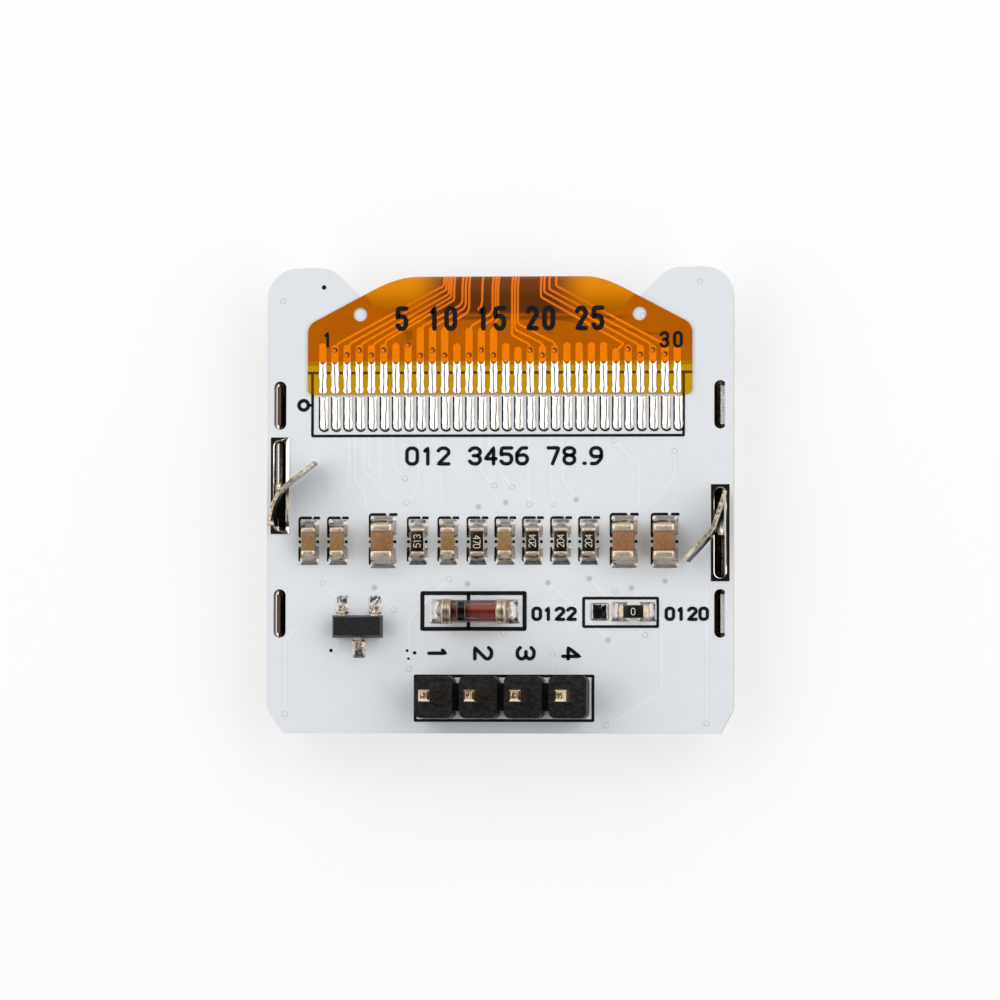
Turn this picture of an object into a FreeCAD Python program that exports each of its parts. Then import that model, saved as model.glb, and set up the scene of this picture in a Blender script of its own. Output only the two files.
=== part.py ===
import FreeCAD, Part
import math
import os

from FreeCAD import Vector

# Small display module seen from its back: a glass panel in a stamped steel frame under a white
# circuit board, a flex circuit folded through the board's notch, and parts soldered on the back.
# The module lies on its steel bezel at Z = 0, with the board's back towards +Z and the fold
# towards +Y. The origin is under the middle of the board. All sizes are in millimetres.

# Circuit board
board_width = 26.7
board_depth = 26.6
board_thickness = 1.2
notch_width = 19.4
notch_depth = 2.7
notch_slope = 45.0
notch_floor_radius = 1.8
left_ear_outer_radius = 1.8
right_ear_outer_radius = 1.6
left_ear_inner_radius = 1.25
right_ear_inner_radius = 1.8
left_chamfer_width = 1.0
right_chamfer_width = 0.75
chamfer_height = 1.35
chamfer_end_radius = 1.3

# Slots for the frame's tabs
slot_inset = 0.75
slot_width = 0.7
locating_slot_length = 2.77
locating_slot_spacing = 11.9
twist_slot_length = 5.17
twist_slot_offset = 1.36
plating_thickness = 0.04
plating_ring_border = 0.18

# Stamped steel frame
frame_centre_y = -0.52
frame_depth = 17.3
frame_sheet = 0.2
frame_bend_radius = 0.3
frame_corner_relief = 0.8
frame_wall_offset = 0.1
window_side_border = 1.25
window_low_border = 1.6
window_depth = 12.4
window_corner_radius = 0.5
flex_gap_width = 15.0
locating_tab_length = 2.2
locating_tab_setback = 0.35

# Twisted tabs of the frame
blade_length = 4.65
blade_height = 2.0
blade_neck_length = 2.45
blade_wing_gap = 0.3
tail_twist_ease = 3.5
wing_twist_ease = 16.0
left_blade_headings = (5.0, 53.0)
left_blade_tail_straight = 0.4
left_blade_bend_radius = 2.9
left_blade_tail_lean = 0.3
right_blade_headings = (18.5, 43.0)
right_blade_tail_straight = 2.0
right_blade_bend_radius = 1.5
right_blade_tail_lean = 0.27

# Glass panel, its film, its chip and the tape that holds it
polarizer_thickness = 0.15
polarizer_overlap = 0.45
glass_clearance = 0.25
front_glass_thickness = 0.55
rear_glass_thickness = 0.5
ledge_depth = 3.2
chip_length = 6.8
chip_width = 0.9
chip_height = 0.3
chip_gap = 0.35
foam_thickness = 0.5
foam_border = 1.2

# Flex circuit
flex_width = 22.0
flex_thickness = 0.1
flex_end_y = 6.04
flex_end_radius = 0.3
flex_shoulder_y = 10.03
flex_shoulder_radius = 0.75
flex_slope = 28.0
fold_inset = 0.43
flex_hole_spacing = 16.0
flex_hole_y = 10.63
flex_hole_radius = 0.4
flex_bond_width = 13.0
flex_bond_overlap = 1.3
flex_flare_start = 1.3
flex_flare_depth = 1.2

# Fingers of the flex and the solder joints of the board
finger_count = 30
finger_pitch = 0.7
finger_width = 0.46
finger_length = 1.89
finger_thickness = 0.05
joint_width = 0.5
joint_length = 2.0
joint_thickness = 0.1
joint_gap = 0.06
joint_shift = 0.09
joint_corner_cut = 0.14

# Row of chip capacitors and resistors, which spreads with the slots beside it
row_y = -2.375
row_slot_x = 12.6
solder_film = 0.05
terminal_skin = 0.03
small_capacitor_x = (-10.90, -9.26, -2.92, 0.34)
large_capacitor_x = (-6.66, 7.13, 9.46)
chip_resistor_x = (-4.67, -1.25, 1.92, 3.53, 5.13)
small_length = 1.6
small_width = 0.8
small_band = 0.31
small_pad_span = 2.75
small_pad_gap = 0.5
small_pad_width = 1.18
small_capacitor_height = 0.8
resistor_height = 0.45
resistor_coat = 0.03
large_length = 2.0
large_width = 1.25
large_band = 0.5
large_pad_span = 3.09
large_pad_gap = 0.75
large_pad_width = 1.58
large_capacitor_height = 1.25
fillet_share = 0.7
fillet_foot_share = 0.3
fillet_lean = 0.06

# Jumper with its zero-ohm resistor
address_resistor_x = 7.68
address_y = -6.375
jumper_pad_x = 5.74
jumper_pad_size = 1.08
jumper_pad_height = 0.12
jumper_pad_crown = 0.6
jumper_pad_shoulder = 0.7

# Voltage regulator with three leads
regulator_x = -8.05
regulator_y = -7.23
regulator_length = 2.9
regulator_width = 1.28
regulator_height = 1.0
regulator_standoff = 0.1
regulator_draft = 0.12
regulator_lead_pitch = 0.94
lead_width = 0.38
lead_thickness = 0.13
lead_reach = 1.2
lead_foot = 0.42
lead_root = 0.35
lead_bend_radius = 0.1
lead_pad_width = 0.75
lead_pad_length = 1.05
lead_pad_reach = 1.78

# Glass diode
diode_x = -1.39
diode_y = -6.36
diode_length = 3.7
diode_cap_radius = 0.7
diode_glass_radius = 0.64
diode_cap_length = 0.58
diode_cap_chamfer = 0.08
diode_bore_radius = 0.36
diode_stud_length = 1.0
diode_pad_span = 5.2
diode_pad_length = 1.35
diode_pad_width = 1.38
diode_solder_height = 0.45

# Pin header
header_x = 0.28
header_y = -11.25
pin_count = 4
pin_pitch = 2.54
pin_width = 0.64
pin_rise = 6.0
pin_tail = 1.25
pin_tip_length = 0.55
pin_tip_width = 0.36
header_height = 2.54
header_depth = 2.42
header_block_width = 2.14
header_corner_radius = 0.35
header_web_setback = 0.42
header_web_height = 1.7
header_hole_radius = 0.5
header_fillet_radius = 0.85
header_fillet_tip_radius = 0.5
header_fillet_height = 0.7

# Fineness of the curves
blade_section_shares = (0, 0.07, 0.15, 0.4, 1)
blade_point_count = 9
fold_taper_steps = 8
slot_end_flat = 2e-4
shortest_edge = 1e-6

# Levels and places that follow from the sizes above
film_front = frame_sheet
glass_front = film_front + polarizer_thickness
ledge_level = glass_front + front_glass_thickness
rear_glass_back = ledge_level + rear_glass_thickness
board_front = rear_glass_back + foam_thickness
board_back = board_front + board_thickness

slot_x = board_width / 2 - slot_inset
wall_outer = slot_x + frame_wall_offset + frame_sheet / 2
wall_inner = wall_outer - frame_sheet
frame_low_y = frame_centre_y - frame_depth / 2
frame_high_y = frame_centre_y + frame_depth / 2
glass_half_width = wall_inner - glass_clearance
glass_low_y = frame_low_y + frame_sheet + glass_clearance
glass_high_y = frame_high_y - frame_sheet - glass_clearance
rear_glass_high_y = glass_high_y - ledge_depth
window_low_y = frame_low_y + window_low_border
window_half_width = wall_outer - window_side_border

flex_back = board_back + flex_thickness
fold_outer_radius = (flex_back - ledge_level) / 2
fold_mid_radius = fold_outer_radius - flex_thickness / 2
fold_level = ledge_level + fold_outer_radius
fold_start_y = board_depth / 2 - fold_inset - fold_outer_radius
flex_run_per_rise = 1 / math.tan(math.radians(flex_slope))
flex_half_at_fold = flex_width / 2 - (fold_start_y - flex_shoulder_y) * flex_run_per_rise
neck_half_width = flex_half_at_fold - fold_mid_radius * math.pi / 2 * flex_run_per_rise


def flat(z):
    """Maps plan coordinates to a level plane at height z."""
    return lambda u, v: Vector(u, v, z)


def across(y):
    """Maps X and Z coordinates to an upright plane at y."""
    return lambda u, v: Vector(u, y, v)


def along(x):
    """Maps Y and Z coordinates to an upright plane at x."""
    return lambda u, v: Vector(x, u, v)


def rounded_face(corners, place):
    """Face inside corners given as (u, v) or (u, v, radius), each radius a tangent arc."""
    ends = []
    for i, corner in enumerate(corners):
        here = Vector(corner[0], corner[1], 0)
        radius = corner[2] if len(corner) > 2 else 0
        if radius == 0:
            ends.append((here, None, here))
            continue
        before = corners[i - 1]
        after = corners[(i + 1) % len(corners)]
        back = (Vector(before[0], before[1], 0) - here).normalize()
        ahead = (Vector(after[0], after[1], 0) - here).normalize()
        half_angle = back.getAngle(ahead) / 2
        inward = (back + ahead).normalize()
        reach = radius / math.tan(half_angle)
        middle = here + inward * (radius / math.sin(half_angle) - radius)
        ends.append((here + back * reach, middle, here + ahead * reach))
    edges = []
    for i, (start, middle, end) in enumerate(ends):
        if middle is not None:
            points = [place(p.x, p.y) for p in (start, middle, end)]
            edges.append(Part.Arc(*points).toShape())
        following = ends[(i + 1) % len(ends)][0]
        if end.distanceToPoint(following) > shortest_edge:
            edges.append(Part.makeLine(place(end.x, end.y), place(following.x, following.y)))
    return Part.Face(Part.Wire(edges))


def plate(corners, low, high):
    """Flat plate with the given outline between two heights."""
    return rounded_face(corners, flat(low)).extrude(Vector(0, 0, high - low))


def rectangle(x_low, x_high, y_low, y_high, radius=0):
    return [(x_low, y_low, radius), (x_high, y_low, radius),
            (x_high, y_high, radius), (x_low, y_high, radius)]


def block(x_low, x_high, y_low, y_high, z_low, z_high):
    corner = Vector(x_low, y_low, z_low)
    return Part.makeBox(x_high - x_low, y_high - y_low, z_high - z_low, corner)


def stacked(sections):
    """Solid through rectangles given as (x_low, x_high, y_low, y_high, z), from the bottom up."""
    wires = [rounded_face(rectangle(*section[:4]), flat(section[4])).OuterWire for section in sections]
    return Part.makeLoft(wires, True, True)


def fused(pieces):
    whole = pieces[0].multiFuse(pieces[1:])
    return whole.removeSplitter()


def slot_prism(x, y, width, length, low, high):
    """Round-ended slot along Y."""
    end_radius = (width - slot_end_flat) / 2
    ends = rectangle(x - width / 2, x + width / 2, y - length / 2, y + length / 2, end_radius)
    return plate(ends, low, high)


def pin_places():
    first = header_x - (pin_count - 1) * pin_pitch / 2
    return [first + i * pin_pitch for i in range(pin_count)]


def locating_slot_places():
    return [frame_centre_y - locating_slot_spacing / 2, frame_centre_y + locating_slot_spacing / 2]


def circuit_board():
    half_width = board_width / 2
    half_depth = board_depth / 2
    notch_half = notch_width / 2
    floor_half = notch_half - notch_depth / math.tan(math.radians(notch_slope))
    floor_y = half_depth - notch_depth
    outline = [
        (-half_width + left_chamfer_width, -half_depth),
        (half_width - right_chamfer_width, -half_depth),
        (half_width, -half_depth + chamfer_height, chamfer_end_radius),
        (half_width, half_depth, right_ear_outer_radius),
        (notch_half, half_depth, right_ear_inner_radius),
        (floor_half, floor_y, notch_floor_radius),
        (-floor_half, floor_y, notch_floor_radius),
        (-notch_half, half_depth, left_ear_inner_radius),
        (-half_width, half_depth, left_ear_outer_radius),
        (-half_width, -half_depth + chamfer_height, chamfer_end_radius),
    ]
    board = plate(outline, board_front, board_back)
    openings = []
    for side in (-1, 1):
        for y in locating_slot_places():
            openings.append(slot_prism(side * slot_x, y, slot_width, locating_slot_length,
                                       board_front, board_back))
        y = frame_centre_y - side * twist_slot_offset
        openings.append(slot_prism(side * slot_x, y, slot_width + 2 * plating_thickness,
                                   twist_slot_length + 2 * plating_thickness, board_front, board_back))
    for x in pin_places():
        openings.append(Part.makeCylinder(header_hole_radius, board_thickness,
                                          Vector(x, header_y, board_front)))
    return board.cut(openings)


def slot_plating(side):
    """Tinned wall of one twist slot with its rectangular ring on the board's back."""
    x = side * slot_x
    y = frame_centre_y - side * twist_slot_offset
    wall = slot_prism(x, y, slot_width + 2 * plating_thickness,
                      twist_slot_length + 2 * plating_thickness, board_front, board_back)
    ring_x = slot_width / 2 + plating_ring_border
    ring_y = twist_slot_length / 2 + plating_ring_border
    ring = block(x - ring_x, x + ring_x, y - ring_y, y + ring_y,
                 board_back, board_back + plating_thickness)
    bore = slot_prism(x, y, slot_width, twist_slot_length,
                      board_front, board_back + plating_thickness)
    return fused([wall, ring]).cut(bore)


def frame_tray():
    """Bezel sheet with side walls and end walls bent up from it, open at the corners."""
    outer_bend = frame_bend_radius + frame_sheet
    sides = [
        (-wall_outer, board_front), (-wall_outer, 0, outer_bend),
        (wall_outer, 0, outer_bend), (wall_outer, board_front),
        (wall_inner, board_front), (wall_inner, frame_sheet, frame_bend_radius),
        (-wall_inner, frame_sheet, frame_bend_radius), (-wall_inner, board_front),
    ]
    side_length = frame_depth - 2 * frame_corner_relief
    tray = rounded_face(sides, across(frame_low_y + frame_corner_relief))
    pieces = [tray.extrude(Vector(0, side_length, 0))]
    end_half = wall_outer - frame_corner_relief
    gap_half = flex_gap_width / 2
    spans = [(frame_low_y, 1, -end_half, end_half),
             (frame_high_y, -1, -end_half, -gap_half),
             (frame_high_y, -1, gap_half, end_half)]
    for edge_y, inward, x_low, x_high in spans:
        end_wall = [
            (edge_y, board_front), (edge_y, 0, outer_bend),
            (edge_y + inward * (frame_corner_relief + frame_sheet), 0),
            (edge_y + inward * (frame_corner_relief + frame_sheet), frame_sheet),
            (edge_y + inward * frame_sheet, frame_sheet, frame_bend_radius),
            (edge_y + inward * frame_sheet, board_front),
        ]
        profile = rounded_face(end_wall, along(x_low))
        pieces.append(profile.extrude(Vector(x_high - x_low, 0, 0)))
    window = plate(rectangle(-window_half_width, window_half_width, window_low_y,
                             window_low_y + window_depth, window_corner_radius), 0, frame_sheet)
    return fused(pieces).cut(window)


def blade_curve(headings, tail_straight, bend_radius, tail_lean):
    """Plan points of a twisted blade's top edge: a straight tail, a bend and a straight wing.

    The first coordinate runs from the wall's plane towards the board's middle, the second
    along the wall. Headings are degrees from the wall's direction, at the tail and the wing.
    """
    tail, wing = [math.radians(h) for h in headings]
    bend = bend_radius * (wing - tail)
    points = []
    for i in range(blade_point_count):
        run = blade_length * i / (blade_point_count - 1)
        straight = min(run, tail_straight)
        turned = min(max(run - tail_straight, 0), bend)
        rest = max(run - tail_straight - bend, 0)
        heading = tail + turned / bend_radius
        inward = (straight * math.sin(tail) + rest * math.sin(wing)
                  + bend_radius * (math.cos(tail) - math.cos(heading)))
        forward = (straight * math.cos(tail) + rest * math.cos(wing)
                   + bend_radius * (math.sin(heading) - math.sin(tail)))
        points.append((inward - tail_lean, forward - blade_length / 2))
    return points


def blade_section(curve, share):
    """Closed outline of the blade at one height, share of the way from straight to twisted.

    The tail leaves its slot slowly, and the free wing stands upright over its whole height.
    """
    z = board_back + share * blade_height
    middle = []
    for i, (inward, forward) in enumerate(curve):
        along_blade = i / (len(curve) - 1)
        ease = tail_twist_ease + (wing_twist_ease - tail_twist_ease) * along_blade
        blend = 1 - (1 - share) ** ease
        straight = blade_length * along_blade - blade_length / 2
        middle.append(Vector(blend * inward, straight + blend * (forward - straight), z))
    faces = ([], [])
    for i, point in enumerate(middle):
        ahead = middle[min(i + 1, len(middle) - 1)] - middle[max(i - 1, 0)]
        normal = Vector(ahead.y, -ahead.x, 0).normalize() * (frame_sheet / 2)
        faces[0].append(point + normal)
        faces[1].append(point - normal)
    edges = []
    for side in faces:
        spline = Part.BSplineCurve()
        spline.interpolate(side)
        edges.append(spline.toShape())
    edges.insert(1, Part.makeLine(faces[0][-1], faces[1][-1]))
    edges.append(Part.makeLine(faces[1][0], faces[0][0]))
    return Part.Wire(Part.__sortEdges__(edges))


def twisted_blade(curve):
    """Tab in the left wall's own directions: straight in its slot, twisted above the board."""
    sections = [blade_section(curve, share) for share in blade_section_shares]
    blade = Part.makeLoft(sections, True, True)
    wing_start = blade_neck_length - blade_length / 2
    under_wing = block(-blade_length, blade_length, wing_start, blade_length,
                       board_back - frame_sheet, board_back + blade_wing_gap)
    blade = blade.cut(under_wing)
    neck = block(-frame_sheet / 2, frame_sheet / 2, -blade_length / 2, wing_start,
                 board_front, board_back)
    return neck, blade


def display_frame():
    pieces = [frame_tray()]
    curves = {
        -1: blade_curve(left_blade_headings, left_blade_tail_straight,
                        left_blade_bend_radius, left_blade_tail_lean),
        1: blade_curve(right_blade_headings, right_blade_tail_straight,
                       right_blade_bend_radius, right_blade_tail_lean),
    }
    wall_middle = wall_outer - frame_sheet / 2
    tab_top = board_back - locating_tab_setback
    for side, curve in curves.items():
        for piece in twisted_blade(curve):
            if side > 0:
                piece.rotate(Vector(0, 0, 0), Vector(0, 0, 1), 180)
            piece.translate(Vector(side * wall_middle, frame_centre_y - side * twist_slot_offset, 0))
            pieces.append(piece)
        low, high = sorted((side * wall_inner, side * wall_outer))
        for y in locating_slot_places():
            pieces.append(block(low, high, y - locating_tab_length / 2,
                                y + locating_tab_length / 2, board_front, tab_top))
    return fused(pieces)


def polarizer_film():
    outline = rectangle(-window_half_width - polarizer_overlap, window_half_width + polarizer_overlap,
                        window_low_y - polarizer_overlap,
                        window_low_y + window_depth + polarizer_overlap)
    return plate(outline, film_front, glass_front)


def front_glass():
    return block(-glass_half_width, glass_half_width, glass_low_y, glass_high_y,
                 glass_front, ledge_level)


def rear_glass():
    return block(-glass_half_width, glass_half_width, glass_low_y, rear_glass_high_y,
                 ledge_level, rear_glass_back)


def driver_chip():
    low_y = rear_glass_high_y + chip_gap
    return block(-chip_length / 2, chip_length / 2, low_y, low_y + chip_width,
                 ledge_level, ledge_level + chip_height)


def foam_tape():
    return block(-glass_half_width + foam_border, glass_half_width - foam_border,
                 glass_low_y + foam_border, rear_glass_high_y - foam_border,
                 rear_glass_back, board_front)


def fold_taper():
    """Plan shape of the flex round the upper half of its fold, where its slanted edges run on."""
    right = []
    for i in range(fold_taper_steps + 1):
        turn = math.pi / 2 * i / fold_taper_steps
        half = flex_half_at_fold - fold_mid_radius * turn * flex_run_per_rise
        right.append(Vector(half, fold_start_y + fold_outer_radius * math.sin(turn), fold_level))
    left = [Vector(-p.x, p.y, p.z) for p in right]
    edges = []
    for points in (right, left):
        spline = Part.BSplineCurve()
        spline.interpolate(points)
        edges.append(spline.toShape())
    edges.append(Part.makeLine(right[0], left[0]))
    edges.append(Part.makeLine(right[-1], left[-1]))
    return Part.Face(Part.Wire(Part.__sortEdges__(edges)))


def fold_ring():
    """Half tube of the flex's thickness round the fold's axis, over the flex's full width."""
    axis_start = Vector(-flex_width / 2, fold_start_y, fold_level)
    outer = Part.makeCylinder(fold_outer_radius, flex_width, axis_start, Vector(1, 0, 0))
    inner = Part.makeCylinder(fold_outer_radius - flex_thickness, flex_width, axis_start,
                              Vector(1, 0, 0))
    return outer.cut(inner)


def flex_circuit():
    half = flex_width / 2
    upper = plate([
        (-half, flex_end_y, flex_end_radius), (half, flex_end_y, flex_end_radius),
        (half, flex_shoulder_y, flex_shoulder_radius),
        (flex_half_at_fold, fold_start_y), (-flex_half_at_fold, fold_start_y),
        (-half, flex_shoulder_y, flex_shoulder_radius),
    ], board_back, flex_back)
    bond_half = flex_bond_width / 2
    bond_end = glass_high_y - flex_bond_overlap
    flare_high = fold_start_y - flex_flare_start
    lower = plate([
        (-bond_half, bond_end), (bond_half, bond_end),
        (bond_half, flare_high - flex_flare_depth), (neck_half_width, flare_high),
        (neck_half_width, fold_start_y), (-neck_half_width, fold_start_y),
        (-neck_half_width, flare_high), (-bond_half, flare_high - flex_flare_depth),
    ], ledge_level, ledge_level + flex_thickness)
    ring = fold_ring()
    upper_fold = ring.common(fold_taper().extrude(Vector(0, 0, fold_outer_radius)))
    lower_fold = ring.common(block(-neck_half_width, neck_half_width, fold_start_y,
                                   fold_start_y + fold_outer_radius, ledge_level, fold_level))
    flex = fused([upper, upper_fold, lower_fold, lower])
    holes = [Part.makeCylinder(flex_hole_radius, flex_thickness,
                               Vector(side * flex_hole_spacing / 2, flex_hole_y, board_back))
             for side in (-1, 1)]
    return flex.cut(holes)


def finger_places():
    first = -(finger_count - 1) * finger_pitch / 2
    return [first + i * finger_pitch for i in range(finger_count)]


def flex_fingers():
    """Tinned contact fingers on the flex, one solid each."""
    fingers = []
    for x in finger_places():
        fingers.append(block(x - finger_width / 2, x + finger_width / 2,
                             flex_end_y, flex_end_y + finger_length,
                             flex_back, flex_back + finger_thickness))
    return Part.makeCompound(fingers)


def board_joints():
    """Solder on the board's pads in front of the flex, one solid for each finger."""
    joints = []
    high_y = flex_end_y - joint_gap
    low_y = high_y - joint_length
    for finger_x in finger_places():
        x = finger_x + joint_shift
        half = joint_width / 2
        outline = [(x - half, low_y + joint_corner_cut), (x - half + joint_corner_cut, low_y),
                   (x + half - joint_corner_cut, low_y), (x + half, low_y + joint_corner_cut),
                   (x + half, high_y), (x - half, high_y)]
        joints.append(plate(outline, board_back, board_back + joint_thickness))
    return Part.makeCompound(joints)


def chip_envelope(length, width, height):
    """Outer block of a chip part lying along Y, on its film of solder."""
    low = board_back + solder_film
    return block(-width / 2, width / 2, -length / 2, length / 2, low, low + height)


def chip_core(length, width, height):
    low = board_back + solder_film + terminal_skin
    return block(-width / 2 + terminal_skin, width / 2 - terminal_skin,
                 -length / 2 + terminal_skin, length / 2 - terminal_skin,
                 low, low + height - 2 * terminal_skin)


def resistor_core():
    """Ceramic slab of a chip resistor with its raised coat between the terminals."""
    slab = chip_core(small_length, small_width, resistor_height)
    coat_half = small_length / 2 - small_band
    top = board_back + solder_film + resistor_height
    coat = block(-small_width / 2 + terminal_skin, small_width / 2 - terminal_skin,
                 -coat_half, coat_half, top - terminal_skin, top + resistor_coat - terminal_skin)
    return fused([slab, coat])


def chip_terminals(length, width, height, band):
    """Two metal caps that wrap round a chip part's ends."""
    envelope = chip_envelope(length, width, height)
    between = block(-width, width, -length / 2 + band, length / 2 - band,
                    board_back, board_back + solder_film + height)
    ends = envelope.cut(between).cut(chip_core(length, width, height))
    return ends.Solids


def chip_solder(length, width, height, pad_span, pad_gap, pad_width, band):
    """Solder on a chip part's two pads, climbing the ends of its terminals."""
    joints = []
    climb = height * fillet_share
    for side in (-1, 1):
        sections = []
        steps = [(0, pad_width / 2, pad_gap / 2, pad_span / 2),
                 (fillet_foot_share * climb, (pad_width + width) / 4 + fillet_lean,
                  length / 2 - band, length / 2 + (pad_span - length) / 4),
                 (solder_film + climb, width / 2 + fillet_lean / 2, length / 2 - band,
                  length / 2 + fillet_lean)]
        for rise, half, inner, outer in steps:
            low, high = sorted((side * inner, side * outer))
            sections.append((-half, half, low, high, board_back + rise))
        joint = stacked(sections).cut(chip_envelope(length, width, height))
        joints += joint.Solids
    return joints


def placed(shapes, x, y, turn=0):
    copies = []
    for shape in shapes:
        copy = shape.copy()
        copy.rotate(Vector(0, 0, 0), Vector(0, 0, 1), turn)
        copy.translate(Vector(x, y, 0))
        copies.append(copy)
    return copies


def chip_nodes():
    """All chip parts of the row and the jumper, with their terminals and solder."""
    nodes = {}
    small_size = (small_length, small_width)
    large_size = (large_length, large_width)
    small_pads = (small_pad_span, small_pad_gap, small_pad_width, small_band)
    large_pads = (large_pad_span, large_pad_gap, large_pad_width, large_band)
    small_height = (small_capacitor_height,)
    large_height = (large_capacitor_height,)
    flat_height = (resistor_height,)
    kinds = [
        ("small_capacitor", small_capacitor_x, small_size + small_height, small_pads,
         chip_core(*small_size + small_height)),
        ("large_capacitor", large_capacitor_x, large_size + large_height, large_pads,
         chip_core(*large_size + large_height)),
        ("chip_resistor", chip_resistor_x, small_size + flat_height, small_pads, resistor_core()),
    ]
    for name, places, size, pads, core in kinds:
        terminals = []
        solder = []
        for number, place in enumerate(places, start=1):
            x = place * slot_x / row_slot_x
            nodes[f"{name}_{number}"] = placed([core], x, row_y)[0]
            terminals += placed(chip_terminals(*size, pads[-1]), x, row_y)
            solder += placed(chip_solder(*size, *pads), x, row_y)
        nodes[f"{name}_terminals"] = Part.makeCompound(terminals)
        nodes[f"{name}_solder"] = Part.makeCompound(solder)
    spot = (address_resistor_x, address_y, 90)
    size = small_size + flat_height
    nodes["address_resistor"] = placed([resistor_core()], *spot)[0]
    nodes["address_resistor_terminals"] = Part.makeCompound(
        placed(chip_terminals(*size, small_band), *spot))
    nodes["address_resistor_solder"] = Part.makeCompound(
        placed(chip_solder(*size, *small_pads), *spot))
    return nodes


def jumper_pad():
    """Crowned solder on the empty pad of the jumper."""
    half = jumper_pad_size / 2
    crown = half * jumper_pad_crown
    sections = []
    for reach, rise in ((half, 0), ((half + crown) / 2, jumper_pad_height * jumper_pad_shoulder),
                        (crown, jumper_pad_height)):
        sections.append((jumper_pad_x - reach, jumper_pad_x + reach,
                         address_y - reach, address_y + reach, board_back + rise))
    return stacked(sections)


def regulator_sides():
    """Signs and offsets of the three leads: two on the +Y side, one on the other."""
    return [(1, -regulator_lead_pitch), (1, regulator_lead_pitch), (-1, 0)]


def regulator_lead(side, offset):
    """Gull-wing lead from inside the body down to its foot on the solder."""
    foot_low = board_back + solder_film
    root_middle = board_back + regulator_standoff + regulator_height / 2
    root_high = root_middle + lead_thickness / 2
    root_low = root_middle - lead_thickness / 2
    knee = lead_reach - lead_foot
    inner_knee = knee - lead_thickness
    root = regulator_width / 2 - lead_root
    outer_bend = lead_bend_radius + lead_thickness
    outline = [
        (root, root_low), (inner_knee, root_low, lead_bend_radius),
        (inner_knee, foot_low, outer_bend), (lead_reach, foot_low),
        (lead_reach, foot_low + lead_thickness),
        (knee, foot_low + lead_thickness, lead_bend_radius),
        (knee, root_high, outer_bend), (root, root_high),
    ]
    lead = rounded_face(outline, along(-lead_width / 2)).extrude(Vector(lead_width, 0, 0))
    if side < 0:
        lead.rotate(Vector(0, 0, 0), Vector(0, 0, 1), 180)
    lead.translate(Vector(regulator_x + offset, regulator_y, 0))
    return lead


def regulator_body(leads):
    """Moulded body with drafted sides, open where its leads enter."""
    half_length = regulator_length / 2
    half_width = regulator_width / 2
    low = board_back + regulator_standoff
    sections = []
    for inset, rise in ((regulator_draft, 0), (0, regulator_height / 2),
                        (regulator_draft, regulator_height)):
        sections.append((regulator_x - half_length + inset, regulator_x + half_length - inset,
                         regulator_y - half_width + inset, regulator_y + half_width - inset,
                         low + rise))
    return stacked(sections).cut(leads)


def regulator_solder():
    pads = []
    for side, offset in regulator_sides():
        x = regulator_x + offset
        low, high = sorted((side * (lead_pad_reach - lead_pad_length), side * lead_pad_reach))
        pads.append(block(x - lead_pad_width / 2, x + lead_pad_width / 2,
                          regulator_y + low, regulator_y + high,
                          board_back, board_back + solder_film))
    return Part.makeCompound(pads)


def diode_axis_level():
    return board_back + solder_film + diode_cap_radius


def diode_rod(radius, start, length):
    """Round piece of the diode, from a distance along its length."""
    base = Vector(diode_x - diode_length / 2 + start, diode_y, diode_axis_level())
    return Part.makeCylinder(radius, length, base, Vector(1, 0, 0))


def diode_nodes():
    glass_length = diode_length - 2 * diode_cap_length
    die_length = glass_length - 2 * diode_stud_length
    far_stud = diode_cap_length + diode_stud_length + die_length
    sleeve = diode_rod(diode_glass_radius, diode_cap_length, glass_length)
    bore = diode_rod(diode_bore_radius, diode_cap_length, glass_length)
    return {
        "diode_glass": sleeve.cut(bore),
        "diode_stud_left": diode_rod(diode_bore_radius, diode_cap_length, diode_stud_length),
        "diode_die": diode_rod(diode_bore_radius, diode_cap_length + diode_stud_length, die_length),
        "diode_stud_right": diode_rod(diode_bore_radius, far_stud, diode_stud_length),
        "diode_cap_left": diode_cap(0),
        "diode_cap_right": diode_cap(diode_length - diode_cap_length),
        "diode_solder": diode_solder(),
    }


def diode_cap(start):
    cap = diode_rod(diode_cap_radius, start, diode_cap_length)
    return cap.makeChamfer(diode_cap_chamfer, cap.Edges[:1] + cap.Edges[2:3])


def diode_solder():
    """Solder cradles under and beyond the diode's caps."""
    joints = []
    envelope = diode_rod(diode_cap_radius, 0, diode_length)
    for side in (-1, 1):
        outer = diode_x + side * diode_pad_span / 2
        inner = outer - side * diode_pad_length
        cap_end = diode_x + side * diode_length / 2
        sections = []
        for rise, half, far in ((0, diode_pad_width / 2, outer),
                                (diode_solder_height, diode_pad_width / 2 - fillet_lean,
                                 cap_end + side * fillet_lean)):
            low, high = sorted((inner, far))
            sections.append((low, high, diode_y - half, diode_y + half, board_back + rise))
        joints += stacked(sections).cut(envelope).Solids
    return Part.makeCompound(joints)


def header_pin(x):
    """Square pin with a tapered tip at each end."""
    low = board_front - pin_tail
    high = board_back + header_height + pin_rise
    half = pin_width / 2
    tip = pin_tip_width / 2
    sections = []
    for reach, level in ((tip, low), (half, low + pin_tip_length / 2),
                         (half, high - pin_tip_length), (tip, high)):
        sections.append((x - reach, x + reach, header_y - reach, header_y + reach, level))
    return stacked(sections)


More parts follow.
